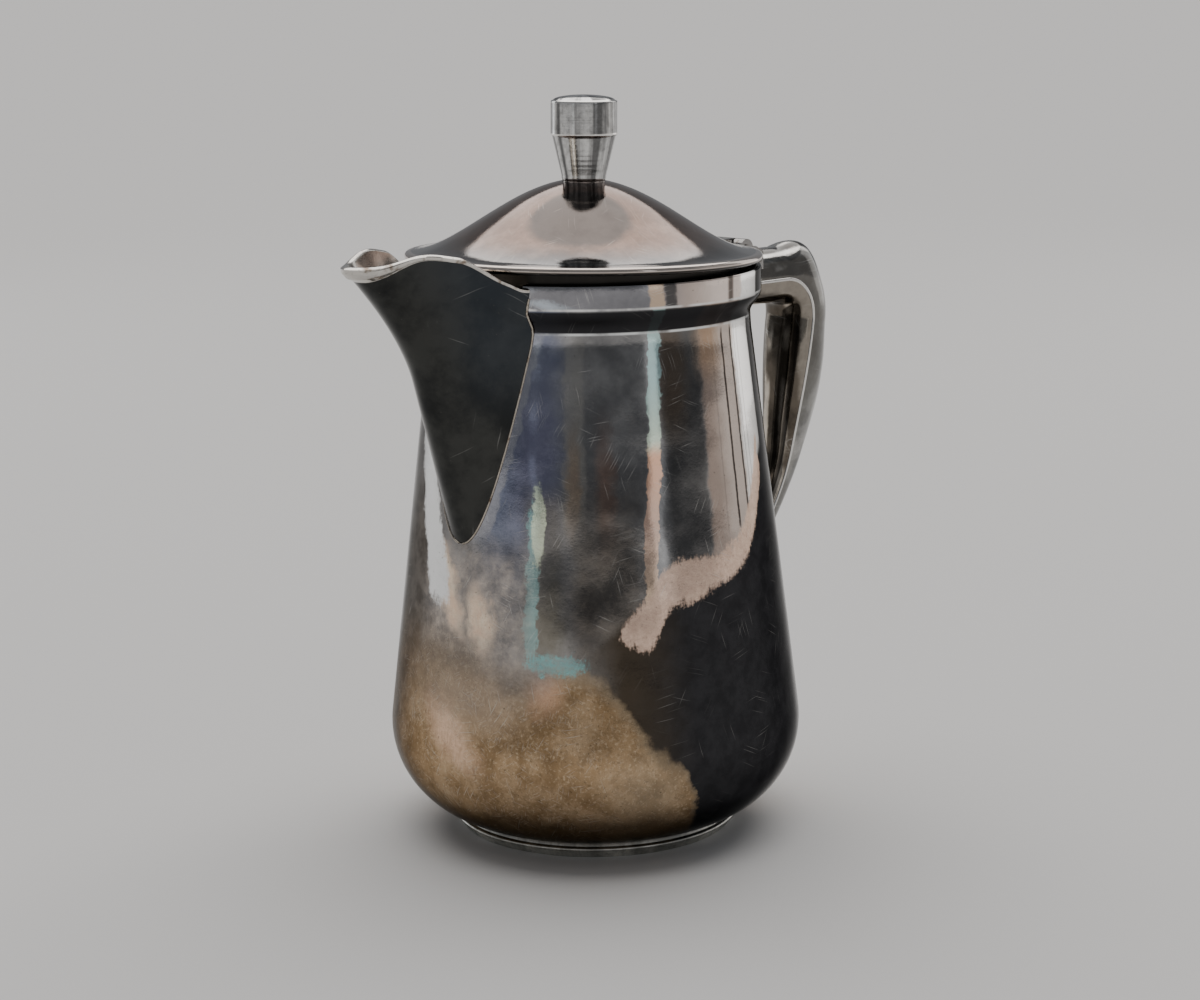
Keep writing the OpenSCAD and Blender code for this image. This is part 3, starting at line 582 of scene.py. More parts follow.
class Patina(Mat):
    """Adds the turning angle and height round the jug's axis, and masks made from them.
    Angle 0 is the front of the near side, halfway between spout and handle; it grows toward the handle."""

    def __init__(self, name):
        super().__init__(name)
        x = self.vmath("DOT_PRODUCT", self.p, RIGHT)
        y = self.vmath("DOT_PRODUCT", self.p, BACK)
        self.ang = self.mul(self.math("ARCTAN2", x, y), 180 / math.pi)
        self.h = self.xyz()[2]
        self.rough_edge = self.sub(self.noise(0.28, 5, 0.60), 0.5)
        self.fine_edge = self.sub(self.noise(1.6, 6, 0.7), 0.5)
        streaky = self.noise(1.0, 7, 0.72, self.vmath("MULTIPLY", self.p, (2.2, 2.2, 0.55)))
        slanted = self.noise(1.0, 7, 0.72, self.vmath("MULTIPLY", self.p, (0.8, 0.8, 2.4)))
        both_ways = self.mad(slanted, 0.4, self.mul(streaky, 0.6))
        self.flecks = self.step(both_ways, 0.34, 0.66)
        self.wa = self.wobble(self.ang, 6.0, 0.8)
        self.wh = self.wobble(self.h, 4.5, 0.6)

    def wobble(self, x, big, small):
        return self.mad(self.fine_edge, small, self.mad(self.rough_edge, big, x))

    def above(self, x, edge, soft):
        return self.step(x, edge - soft, edge + soft)

    def below(self, x, edge, soft):
        return self.invert(self.above(x, edge, soft))

    def band(self, x, lo, hi, soft):
        return self.mul(self.above(x, lo, soft), self.below(x, hi, soft))

    def both(self, first, *others):
        for mask in others:
            first = self.mul(first, mask)
        return first

    def either(self, first, *others, clamp=False):
        for mask in others:
            first = self.math("MAXIMUM", first, mask, clamp=clamp)
        return first

    def coat(self, under, color, *masks):
        """Lays a colour over another one where all the masks meet."""
        return self.mixc(self.both(*masks), under, color)

    def patch(self, a, h, ra, rh, soft=0.5, tilt=0.0):
        """A soft ellipse at angle a and height h, leaning by tilt degrees for each mm of height."""
        dh = self.sub(self.wh, h)
        da2 = self.mad(dh, tilt, self.sub(self.wa, a))
        d = self.length(self.math("DIVIDE", da2, ra), self.math("DIVIDE", dh, rh))
        return self.below(d, 1, soft)

    def curve(self, x, pts):
        """A height that changes with x through a few points."""
        lo, hi = pts[0][0], pts[-1][0]
        n = self.node("FloatCurve", {"Value": self.math("DIVIDE", self.sub(x, lo), hi - lo, clamp=True)})
        curve = n.mapping.curves[0]
        first, *middle, last = [((px - lo) / (hi - lo), py / 100) for px, py in pts]
        curve.points[0].location, curve.points[1].location = first, last
        for q in middle:
            curve.points.new(*q)
        n.mapping.update()
        return self.mul(n.outputs[0], 100.0)

    def scratches(self, length, width, keep, angles, seed=0.0):
        """Straight hairlines of about this length and width in mm, in a few directions, as a mask from 0 to 1."""
        u = self.mul(self.ang, MM_PER_DEGREE)
        bend = self.sub(self.noise(0.12, 1), 0.5)
        total = None
        for k, deg in enumerate(angles):
            c, s = math.cos(rad(deg)), math.sin(rad(deg))
            along = self.math("ADD", self.mul(u, c), self.mul(self.h, s))
            across = self.sub(self.mul(self.h, c), self.mul(u, s))
            across = self.mad(bend, 1.2, across)
            cell = self.combine(self.mul(along, CELL / length), self.mad(across, CELL / width, seed + k * 3.7), 0)
            n = self.node("TexVoronoi", {"Vector": cell, "Scale": 1.0}, voronoi_dimensions="2D")
            chosen = self.below(self.xyz(n.outputs["Color"])[0], keep, 0.02)
            line_mask = self.mul(chosen, self.invert(self.step(n.outputs["Distance"], 0.03, 0.14)))
            total = line_mask if total is None else self.either(total, line_mask)
        return total

    def pitted(self, col, color, amount, lo=0.69, scale=2.4):
        """Adds small pits in this colour, and returns the pits' mask too."""
        pits = self.step(self.noise(scale, 3, 0.6), lo, lo + 0.06)
        return self.coat(col, color, pits, amount), pits

    def scratched(self, col, color, lines, amount, lo=0.35, hi=0.6):
        """Adds hairlines in this colour where the plate is more worn, and returns their mask too."""
        lines = self.both(lines, self.step(self.noise(0.2, 3), lo, hi), amount)
        return self.mixc(lines, col, color), lines

    def dented(self, scale, depth, pits):
        """The normal of handled sheet: slight dents, a grain of this scale and depth, and the pits."""
        normal = self.bump(self.noise(0.08, 2, 0.5), 0.3, 0.8)
        normal = self.bump(self.noise(scale, 5, 0.65), depth, depth, normal)
        return self.bump(self.both(pits, -1.0), 0.12, 0.03, normal)

    def broken(self, mask, amount):
        """Breaks a soft mask into the flecked edge of worn or stained plate."""
        n = self.mad(self.flecks, amount, -0.5 * amount)
        return self.both(self.step(self.math("ADD", mask, n), 0.24, 0.76), self.step(mask, 0.02, 0.35))


def upper_wall(m, col, cloud, mid, up):
    """Blue-violet near the spout, brown in the middle, a painted dark reflection band toward the handle, and a
    painted highlight along the spout's seam.
    """
    blue = m.mixc(mid, (0.15, 0.185, 0.30), (0.25, 0.285, 0.41))
    col = m.coat(col, blue, m.band(m.wa, -36, -10, 6), up, 0.65)
    middle = m.mixc(mid, (0.07, 0.058, 0.047), (0.15, 0.125, 0.10))
    painted_dark_band = m.mixc(cloud, (0.07, 0.069, 0.069), (0.11, 0.107, 0.105))
    # Each row: angles with their softness, heights with theirs, strength, colour.
    for angles, heights, strength, color in (
            ((-25, -11, 5), (58, 80, 11), 0.5, (0.25, 0.235, 0.35)),
            ((-9, -2.5, 1.0), (56, 85, 4), 0.45, (0.46, 0.44, 0.40)),
            ((-8, -4.5, 1.2), (57, 70, 5), 0.5, (0.42, 0.29, 0.18)),
            ((1.5, 6.5, 2.0), (54, 71, 6), 0.5, (0.30, 0.17, 0.115)),
            ((-7, 15, 5), (32, 60, 9), 0.75, middle)):
        col = m.coat(col, color, m.band(m.wa, *angles), m.band(m.wh, *heights), strength)
    # A painted dark reflection band between the stripe and the panel.
    col = m.coat(col, painted_dark_band, m.band(m.wa, 24, REFLECTED_PANEL[0], 2.0), 0.85)
    col = m.coat(col, (0.16, 0.115, 0.08), m.patch(27, 80, 6, 9, 0.6), 0.6)
    # A painted highlight along the spout's seam.
    spout_seam_highlight = m.sub(m.wa, m.mad(m.sub(m.h, 55), 0.53, -34.5))
    return m.coat(col, (0.50, 0.50, 0.52), m.band(spout_seam_highlight, -3, 1.6, 0.7), m.band(m.h, 54, 87, 3), 0.5)


def painted_stripe_and_panel(m, col, mid, up):
    """Painted reflections: a narrow bright stripe tinted by the tarnish, a broad bright panel with painted dark frame
    lines, and painted shadow toward the handle.
    """
    leaning = m.mad(m.sub(m.h, 70), -0.12, m.wa)
    # The stripe is a painted reflection, and its colour ramp is a tarnish tint.
    stripe = m.broken(m.both(m.band(leaning, *REFLECTION_STRIPE, 0.7), m.above(m.wh, 40, 2)), 0.35)
    tint = m.ramp(m.math("DIVIDE", m.wh, 100.0), [
        (0.38, (0.76, 0.60, 0.42)), (0.56, (0.72, 0.52, 0.42)), (0.675, (0.95, 0.56, 0.38)),
        (0.70, (0.66, 0.76, 0.62)), (0.80, (0.50, 0.68, 0.66))])
    col = m.mixc(stripe, col, tint)
    # The panel is a painted reflection of a window, with a white core and painted dark frame lines.
    panel = m.mixc(m.above(m.wa, 47, 5), (0.36, 0.29, 0.25), (0.60, 0.52, 0.465))
    col = m.coat(col, panel, m.band(m.wa, *REFLECTED_PANEL, 1.0), up)
    col = m.coat(col, (0.97, 0.955, 0.93), m.band(m.wa, 58, 73, 1.2), up)
    for angle, half, strength in ((51.6, 0.5, 0.95), (57.0, 0.5, 0.9), (59.6, 0.2, 0.5), (61.8, 0.2, 0.45),
                                  (46.0, 0.2, 0.3)):
        painted_frame_line = m.band(m.wobble(m.ang, 0.8, 0.5), angle - half, angle + half, 0.3)
        col = m.coat(col, (0.035, 0.03, 0.028), painted_frame_line, m.band(m.wh, 54, 86.5, 1), strength)
    col = m.coat(col, (0.46, 0.30, 0.18), m.band(m.wa, 39, 49, 4), m.band(m.wh, 80, 90, 4), 0.6)
    # Painted shadow beyond the panel, toward the handle.
    shadow = m.mixc(mid, (0.03, 0.03, 0.031), (0.075, 0.073, 0.072))
    return m.coat(col, shadow, m.above(m.ang, 71.5, 0.8), m.below(m.wa, FAR_SIDE, 8))


def left_flank(m, col, mid, speck):
    """Grey brown, with a paler worn belt under the spout's foot. Returns the belt's mask too."""
    col = m.coat(col, m.mixc(mid, (0.10, 0.088, 0.076), (0.20, 0.18, 0.16)),
                 m.below(m.wa, -56, 8), m.below(m.wh, 62, 10), 0.85)
    belt = m.both(m.band(m.wa, -58, -20, 6), m.band(m.wh, 32, 52, 5))
    pale = m.mixc(speck, (0.44, 0.40, 0.37), (0.68, 0.60, 0.52))
    return m.coat(col, m.mixc(mid, (0.24, 0.225, 0.22), pale), belt, 0.85), belt


def brown_wear(m, mid):
    """Worn brown for the wall's foot: plain, and with the near side's bright and dark patches."""
    plain = m.mixc(m.step(m.noise(0.075, 8, 0.62), 0.34, 0.66), (0.265, 0.172, 0.088), (0.455, 0.312, 0.178))
    # Each row: noise scale, detail, roughness and seed, its low and high step, strength, colour.
    for noise, steps, strength, color in (
            ((0.15, 7, 0.68, None, None), (0.44, 0.64), 0.5, (0.60, 0.44, 0.28)),
            ((0.24, 7, 0.68, None, 7.0), (0.49, 0.66), 0.5, (0.16, 0.102, 0.052)),
            ((0.8, 6, 0.75, None, 11.0), (0.48, 0.64), 0.25, (0.17, 0.12, 0.07)),
            ((1.9, 4, 0.7, None, None), (0.52, 0.66), 0.40, (0.82, 0.66, 0.46)),
            ((1.7, 4, 0.7, None, 3.0), (0.56, 0.68), 0.5, (0.08, 0.052, 0.028))):
        plain = m.coat(plain, color, m.step(m.noise(*noise), *steps), strength)
    near = m.coat(plain, (0.235, 0.205, 0.175), m.below(m.wa, -30, 18), m.above(m.wh, 27, 7), 0.55)
    near = m.coat(near, (0.95, 0.66, 0.48), m.patch(-44, 22, 6.5, 4.6, 0.8, 1.2), m.mad(m.flecks, 0.5, 0.4))
    near = m.coat(near, (0.55, 0.45, 0.36), m.patch(-38, 28, 14, 4, 0.9, 1.0), 0.4)
    near = m.coat(near, (0.80, 0.50, 0.34), m.patch(-14, 31, 4.5, 3.4, 0.8), 0.6)
    near = m.coat(near, (0.52, 0.43, 0.31), m.patch(14, 13, 9, 6, 0.9), 0.35)
    near = m.coat(near, (0.12, 0.085, 0.052), m.below(m.wh, 8, 5), 0.75)
    left = m.mixc(mid, (0.09, 0.07, 0.055), (0.20, 0.155, 0.12))
    return plain, m.coat(near, left, m.below(m.wa, -64, 12), 0.7)


def collar(m, cloud):
    """The collar above the neck, which repeats the wall's painted bright and dark reflection bands, with a painted
    highlight line at its foot.
    """
    dull = m.mixc(cloud, (0.20, 0.20, 0.215), (0.33, 0.33, 0.35))
    # Painted reflections from here on: the bright side toward the handle, the stripe's band, a dark band, a dark
    # frame line, the white panel and painted shadow toward the handle.
    bright = m.mixc(m.above(m.wa, 40, 8), (0.55, 0.46, 0.41), (0.82, 0.72, 0.66))
    col = m.mixc(m.above(m.wa, 27, 9), dull, bright)
    col = m.coat(col, (0.62, 0.47, 0.35), m.band(m.wa, 19.5, 24, 0.6), 0.9)
    col = m.coat(col, (0.10, 0.095, 0.095), m.band(m.wa, 24.3, 28, 0.8))
    col = m.coat(col, (0.10, 0.08, 0.07), m.band(m.ang, 50.8, 53.6, 0.8), 0.9)
    col = m.coat(col, (0.97, 0.96, 0.94), m.above(m.wa, 58, 1))
    col = m.coat(col, (0.04, 0.04, 0.04), m.band(m.ang, 70.5, 110, 0.8))
    col = m.coat(col, (0.66, 0.74, 0.82), m.patch(-14, 92.0, 6, 0.7, 0.9, 3), 0.7)
    # A painted highlight line at the collar's foot.
    return m.coat(col, (0.85, 0.85, 0.84), m.band(m.h, 91.0, 91.35, 0.12), m.step(m.noise(0.2, 3), 0.3, 0.6))


def body_material():
    m = Patina("plate_body")
    cloud = m.step(m.noise(0.07, 7, 0.62), 0.36, 0.64)
    mid = m.step(m.noise(0.3, 8, 0.7), 0.36, 0.64)
    speck = m.step(m.noise(0.9, 8, 0.75), 0.34, 0.66)
    col = m.mixc(cloud, (0.175, 0.175, 0.18), (0.40, 0.395, 0.39))
    col = m.coat(col, (0.12, 0.118, 0.115), speck, 0.25)
    up = m.above(m.wh, 47, 10)
    col = upper_wall(m, col, cloud, mid, up)
    col = painted_stripe_and_panel(m, col, mid, up)
    # Painted dark reflection on the lower flank, under the painted reflections, browner toward the wear.
    painted_dark_top = m.curve(m.wa, [(-10, 30), (5, 40), (24, 46), (45, 47.5), (60, 55), (70, 66), (110, 66)])
    dark = m.both(m.below(m.sub(m.wh, painted_dark_top), 0, 1.2), m.band(m.wa, 1, 96, 8))
    painted_dark_color = m.mixc(mid, (0.026, 0.026, 0.028), (0.038, 0.038, 0.041))
    painted_dark_color = m.coat(painted_dark_color, (0.075, 0.058, 0.040), m.below(m.wa, 18, 12), 0.8)
    col = m.mixc(dark, col, painted_dark_color)
    # Teal stain with its foot, on a brown ground.
    teal = m.broken(m.both(m.band(m.wa, *TEAL, 1.0), m.band(m.wh, 36, 60, 3)), 0.8)
    foot_stain = m.both(m.broken(m.patch(-11.5, 35, 8.5, 1.9, 0.7), 0.6), m.mad(speck, 0.75, 0.25))
    col = m.coat(col, (0.18, 0.155, 0.10), m.band(m.wa, -21, -9, 3), m.band(m.wh, 36, 62, 3), 0.6)
    col = m.coat(col, m.mixc(speck, (0.26, 0.50, 0.50), (0.44, 0.72, 0.70)), teal, 0.62)
    col = m.coat(col, (0.84, 0.92, 0.70), m.broken(m.patch(-17, 57, 2.2, 6.5, 0.5), 0.6), 0.8)
    col, belt = left_flank(m, col, mid, speck)
    # Brown wear at the foot of the wall: its edge is soft on the left and firm on the right.
    edge = m.curve(m.wa, [(-90, 34), (-60, 37), (-40, 36), (-22, 31), (-10, 33.5), (0, 32), (8, 27.5), (15, 21),
                          (25, 16), (31, 6), (40, -4)])
    under = m.sub(m.wobble(m.h, 2.4, 0.3), edge)
    softness = m.mad(m.below(m.ang, -14, 8), 4.0, 2.2)
    depth = m.math("DIVIDE", under, m.mul(softness, -1.0))
    worn = m.both(m.step(depth, -1.0, 1.0), m.band(m.ang, -100, 40, 6))
    far_brown, brown = brown_wear(m, mid)
    col = m.mixc(worn, col, brown)
    col = m.coat(col, (0.42, 0.33, 0.22), m.band(under, -1.0, 1.2, 1.0), m.band(m.wa, -12, 30, 4), 0.35)
    col = m.coat(col, (0.30, 0.66, 0.66), foot_stain, 0.8)
    # Two cream spots and a white sliver left of the spout's foot.
    cream = m.either(m.patch(-35, 41.5, 4.8, 4.6, 0.5, 0.3), m.patch(-48.5, 45.5, 4.2, 6.5, 0.5, 0.8))
    cream = m.both(cream, m.mad(m.flecks, 0.6, 0.7, clamp=True))
    col = m.coat(col, m.mixc(mid, (1.0, 0.84, 0.66), (0.95, 0.70, 0.52)), cream, 0.95)
    leaning = m.mad(m.sub(m.h, 60), 0.62, m.wa)
    sliver = m.broken(m.both(m.band(leaning, -67.5, -57, 2.4), m.band(m.wh, 43, 72, 3)), 0.45)
    col = m.mixc(sliver, col, (0.93, 0.94, 0.94))
    # Cream wear right of the stripe, between two edges.
    top_edge = m.curve(m.wa, [(0, 40), (8, 41.5), (15, 45), (22, 50.0), (34, 51.0), (50, 53), (60, 60), (70, 72)])
    low_edge = m.curve(m.wa, [(0, 40), (8, 38.6), (16, 37.6), (22, 43), (30, 44.5), (42, 46.5), (52, 49),
                              (60, 54), (70, 64)])
    wear = m.both(m.below(m.sub(m.wh, top_edge), 0, 1.9),
                  m.above(m.sub(m.wh, low_edge), 0, 1.9), m.band(m.wa, 7.5, 68, 1.4))
    wear = m.broken(wear, 0.55)
    bare = m.mixc(m.both(speck, 0.5), (0.92, 0.68, 0.54), (0.58, 0.40, 0.31))
    bare = m.coat(bare, (0.07, 0.055, 0.045), m.step(m.noise(1.3, 7, 0.8, seed=5.0), 0.58, 0.66), 0.8)
    col = m.coat(col, bare, wear, 0.94)
    # Neck and collar. The neck's near-black band is painted shade, for the dark floor that its flare reflects.
    col = m.coat(col, (0.022, 0.022, 0.024), m.band(m.h, *NECK_SHADE, 0.25), 0.97)
    # A thin painted highlight line at the foot of the neck.
    col = m.coat(col, (0.80, 0.82, 0.82), m.band(m.h, 86.95, 87.3, 0.12), m.step(m.noise(0.2, 3), 0.3, 0.6))
    col = m.mixc(m.above(m.h, 91.0, 0.15), col, collar(m, cloud))
    # Far side: the same dull, clouded plate, browner near the foot.
    far = m.mixc(m.step(m.noise(0.05, 5, 0.55), 0.30, 0.70), (0.17, 0.17, 0.175), (0.34, 0.335, 0.325))
    far = m.coat(far, (0.16, 0.14, 0.12), mid, 0.3)
    far = m.coat(far, far_brown, m.below(m.wobble(m.h, 16, 4), 27, 7), 0.8)
    # The neck's painted shade goes round the far side too.
    far = m.coat(far, (0.03, 0.03, 0.032), m.band(m.h, *NECK_SHADE, 0.3))
    col = m.mixc(m.above(m.math("ABSOLUTE", m.wa), FAR_SIDE, 8), col, far)
    # Inside: dull, unpolished plate, where the surface faces the axis or is the floor.
    normal = m.node("TexCoord").outputs["Normal"]
    outward = m.vmath("NORMALIZE", m.vmath("MULTIPLY", m.p, (1, 1, 0)))
    inward = m.mul(m.vmath("DOT_PRODUCT", normal, outward), -1.0)
    floor_in = m.both(m.step(m.xyz(normal)[2], 0.3, 0.5), m.below(m.h, 60, 1))
    inside = m.either(m.step(inward, 0.15, 0.35), floor_in)
    col = m.mixc(inside, col, m.mixc(cloud, (0.30, 0.295, 0.28), (0.46, 0.45, 0.43)))
    # Pits, specks and scratches.
    col, pits = m.pitted(col, (0.025, 0.022, 0.018), 0.8, 0.68)
    long_lines = m.scratches(3.6, 0.10, 0.13, (12, 61, 104, 155))
    fine_lines = m.scratches(1.5, 0.075, 0.35, (35, 80, 140), 40.0)
    patchy = m.either(m.step(m.noise(0.16, 3), 0.38, 0.62), m.patch(-10, 52, 16, 9, 0.6))
    lines = m.either(m.both(long_lines, m.mad(patchy, 0.4, 0.1)), m.both(fine_lines, worn, 0.30), clamp=True)
    off_neck = m.invert(m.both(m.band(m.h, 87.2, 91, 0.2), 0.8))
    lines = m.both(lines, m.mad(dark, -0.7, 1.0), off_neck)
    col = m.mixc(lines, col, (0.82, 0.80, 0.76))
    rough = 0.06
    matt = m.either(wear, belt, foot_stain)
    for mask, amount in ((speck, 0.06), (mid, 0.04), (worn, 0.12), (matt, 0.10), (lines, 0.2), (inside, 0.22)):
        rough = m.mad(mask, amount, rough)
    normal = m.bump(m.noise(0.045, 2, 0.5), 0.6, 1.2)
    normal = m.bump(m.noise(0.9, 6, 0.65), 0.10, 0.10, normal)
    normal = m.bump(m.math("ADD", m.both(pits, -1.0), m.both(lines, -0.4)), 0.12, 0.03, normal)
    m.shader.inputs["Specular Tint"].default_value = (0.45, 0.45, 0.45, 1)
    return m.finish(col, rough, normal)


def plain_silver(name, lo, hi, rough, scale=0.12, stain=None, scratches=0.35):
    """Tarnished plate with clouds, pits and hairlines for the smaller pieces."""
    m = Patina(name)
    col = m.mixc(m.noise(scale, 7, 0.65), lo, hi)
    if stain:
        col = m.mixc(m.step(m.noise(scale * 1.7, 5, 0.6), 0.52, 0.70), col, stain)
    col, pits = m.pitted(col, (0.04, 0.036, 0.03), 0.7)
    col, lines = m.scratched(col, (0.8, 0.79, 0.76), m.scratches(3.0, 0.14, 0.3, (20, 75, 130)), scratches)
    gloss = m.mad(m.noise(0.8, 6, 0.65), 0.10, rough - 0.04)
    return m.finish(col, m.mad(lines, 0.2, gloss), m.dented(1.5, 0.10, pits))


def spout_material():
    m = Patina("plate_spout")
    col = m.mixc(m.step(m.noise(0.10, 7, 0.65), 0.36, 0.64), (0.024, 0.025, 0.025), (0.052, 0.053, 0.050))
    col = m.coat(col, (0.045, 0.055, 0.068), m.band(m.ang, -34, -16, 5), m.above(m.h, 78, 8), 0.5)
    col = m.pitted(col, (0.13, 0.12, 0.11), 0.5, 0.70, 2.2)[0]
    col = m.scratched(col, (0.45, 0.44, 0.43), m.scratches(4.0, 0.14, 0.15, (30, 80, 140)), 0.25, 0.45, 0.65)[0]
    rough = m.mad(m.noise(0.7, 6, 0.65), 0.14, 0.10)
    return m.finish(col, rough, m.bump(m.noise(1.1, 5, 0.65), 0.08, 0.10))


def lid_material():
    """Warm plate on the dome, with a painted dark reflection, a grey oval, on its near side, a greyer flange, a
    painted highlight on the bead and painted shade under it.
    """
    m = Patina("lid_plate")
    from_axis = m.vmath("MULTIPLY", m.vmath("SUBTRACT", m.p, LID_AXIS), (1, 1, 0))
    radius = m.vmath("LENGTH", from_axis)
    cloud = m.step(m.noise(0.11, 7, 0.62), 0.36, 0.64)
    col = m.mixc(cloud, (0.195, 0.135, 0.110), (0.270, 0.196, 0.164))
    col = m.coat(col, (0.135, 0.102, 0.088), m.step(m.noise(0.6, 8, 0.75), 0.4, 0.66), 0.35)
    # A painted dark reflection on the dome's near side: a grey oval.
    across = m.math("ADD", m.vmath("DOT_PRODUCT", from_axis, RIGHT), 0.5)
    along = m.sub(m.vmath("DOT_PRODUCT", from_axis, BACK), REFLECTION_OVAL_OUT)
    outward = m.length(*(m.math("DIVIDE", m.wobble(x, 1.5, 0.6), half)
                         for x, half in zip((across, along), REFLECTION_OVAL_HALF)))
    oval = m.below(outward, 0.96, 0.12)
    col = m.coat(col, m.mixc(cloud, (0.098, 0.086, 0.080), (0.126, 0.110, 0.102)), oval, 0.95)
    flange = m.mixc(cloud, (0.15, 0.145, 0.145), (0.23, 0.21, 0.20))
    col = m.mixc(m.above(m.wobble(radius, 3, 1), 23, 3), col, flange)
    # A painted highlight on the rim bead.
    col = m.mixc(m.above(radius, 28.5, 0.2), col, (0.62, 0.55, 0.50))
    # Painted shade: the rim bead's underside is painted near black.
    tilt = rad(LID_ANGLE)
    from_hinge = m.vmath("SUBTRACT", m.p, hinge)
    lifted = m.vmath("DOT_PRODUCT", from_hinge, (math.sin(tilt), 0, math.cos(tilt)))
    above_seat = m.sub(lifted, LID_SEAT - hinge.z)
    col = m.coat(col, (0.022, 0.021, 0.02), m.below(above_seat, RIM_R - 0.12, 0.12), 0.97)
    col = m.pitted(col, (0.05, 0.045, 0.04), 0.6)[0]
    col = m.scratched(col, (0.6, 0.55, 0.5), m.scratches(3.5, 0.13, 0.25, (15, 70, 125, 165)), 0.18)[0]
    rough = m.mad(m.noise(0.9, 6, 0.7), 0.08, 0.02)
    normal = m.bump(m.noise(0.06, 2, 0.5), 0.35, 0.8)
    return m.finish(col, rough, m.bump(m.noise(1.4, 6, 0.7), 0.09, 0.10, normal))


def handle_material(name, inner):
    """The outer shell has a painted highlight on its ridge, painted highlight and dark reflection bands on its
    flanks, stronger on the arm, and is darker by the seam. The inner shell is darker, with a broken painted highlight
    band on each flank, and lighter by the seam.
    """
    m = Patina(name)
    across = m.math("ABSOLUTE", m.xyz()[1])
    across = m.mad(m.rough_edge, 0.9, m.mad(m.fine_edge, 0.4, across))
    cloud = m.step(m.noise(0.12, 7, 0.66), 0.36, 0.64)
    mid = m.step(m.noise(0.5, 8, 0.72), 0.38, 0.62)
    if inner:
        col = m.mixc(cloud, (0.045, 0.038, 0.030), (0.135, 0.115, 0.092))
        painted_highlight_breakup = m.step(m.noise(0.09, 3), 0.40, 0.56)
        # A painted highlight band on each flank, broken up by noise.
        col = m.coat(col, (0.62, 0.56, 0.48), m.band(across, 1.3, 2.6, 0.35), painted_highlight_breakup)
        col = m.mixc(m.above(across, 4.2, 0.3), col, (0.30, 0.27, 0.23))
    else:
        col = m.mixc(cloud, (0.15, 0.15, 0.147), (0.30, 0.298, 0.285))
        # A painted highlight on the ridge.
        col = m.mixc(m.below(across, 0.9, 0.35), col, (0.55, 0.54, 0.51))
        on_arm = m.above(m.h, 84, 3)
        # A painted dark reflection band and a painted highlight band on each flank, stronger on the arm.
        for lo, hi, soft, least, color in ((1.2, 2.5, 0.25, 0.30, (0.035, 0.034, 0.032)),
                                           (2.7, 3.4, 0.2, 0.20, (0.85, 0.83, 0.79))):
            amount = m.mad(on_arm, 0.55, least)
            col = m.coat(col, color, m.band(across, lo, hi, soft), amount)
        col = m.coat(col, (0.10, 0.095, 0.085), m.above(across, 4.1, 0.25), 0.6)
    col = m.coat(col, (0.11, 0.095, 0.08), mid, 0.25)
    col, pits = m.pitted(col, (0.03, 0.026, 0.02), 0.7)
    col = m.scratched(col, (0.8, 0.79, 0.76), m.scratches(2.5, 0.1, 0.2, (20, 75, 130)), 0.3)[0]
    return m.finish(col, m.mad(mid, 0.07, 0.08), m.dented(1.2, 0.08, pits))


def turned_metal(name, lo, hi, rough, axis=LID_AXIS, edges=()):
    """Lathe-turned metal: fine rings round the axis, light streaks down it, and worn edges."""
    m = Patina(name)
    x, y, _ = m.xyz(m.vmath("SUBTRACT", m.p, axis))
    turn = m.math("ARCTAN2", y, x)
    streaks = m.combine(m.mul(m.math("COSINE", turn), 6.0), m.mul(m.math("SINE", turn), 6.0), m.mul(m.h, 0.05))
    col = m.mixc(m.step(m.noise(0.35, 5, 0.6, streaks), 0.40, 0.60), lo, hi)
    col = m.coat(col, tuple(v * 0.4 for v in lo), m.step(m.noise(0.7, 7, 0.7), 0.42, 0.66), 0.4)
    for low, high in edges:
        col = m.coat(col, (0.92, 0.90, 0.86), m.band(m.h, low, high, 0.12), 0.85)
    rings = m.combine(0, 0, m.mul(m.h, 9.0))
    normal = m.bump(m.noise(1.0, 3, 0.6, rings), 0.12, 0.04)
    normal = m.bump(m.noise(1.5, 4, 0.6), 0.05, 0.06, normal)
    return m.finish(col, m.mad(m.noise(1.0, 5, 0.6), 0.12, rough - 0.05), normal)


give(body_material(), body)
lip_plate = plain_silver("plate_lip", (0.42, 0.40, 0.37), (0.82, 0.79, 0.74), 0.16, 0.3, (0.22, 0.17, 0.13))
give([spout_material(), lip_plate], spout)
give(plain_silver("plate_solder", (0.30, 0.26, 0.21), (0.62, 0.57, 0.50), 0.22, 0.5, (0.14, 0.09, 0.055)), spout_bead)
give(handle_material("plate_handle", False), outer_shell)
give(handle_material("plate_handle_inner", True), inner_shell)
give(plain_silver("plate_seam", (0.55, 0.54, 0.52), (0.86, 0.84, 0.80), 0.14, 0.3), *beads)
give(lid_material(), lid)
# Painted shade: the bezel inside the mouth is near black, for the dark gap under the lid's rim.
give(plain_silver("lid_plate_under_painted_shade", (0.020, 0.019, 0.018), (0.055, 0.050, 0.045), 0.3, scratches=0.0),
     NODES["lid_bezel"])
knob_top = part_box("knob")[1].z / MM
head_low = knob_top - 6.35
give(turned_metal("knob_metal", (0.15, 0.15, 0.15), (0.67, 0.67, 0.66), 0.10, edges=(
    (head_low - 0.15, head_low + 0.15), (knob_top - 1.15, knob_top - 0.75))), knob)
give(turned_metal("foot_metal", (0.50, 0.50, 0.46), (0.84, 0.83, 0.77), 0.30, (0, 0, 0)), foot)
give(plain_silver("hinge_metal", (0.18, 0.175, 0.17), (0.42, 0.41, 0.40), 0.24, 0.4, (0.10, 0.08, 0.06)),
     *(NODES[n] for n in SMALL_PARTS))

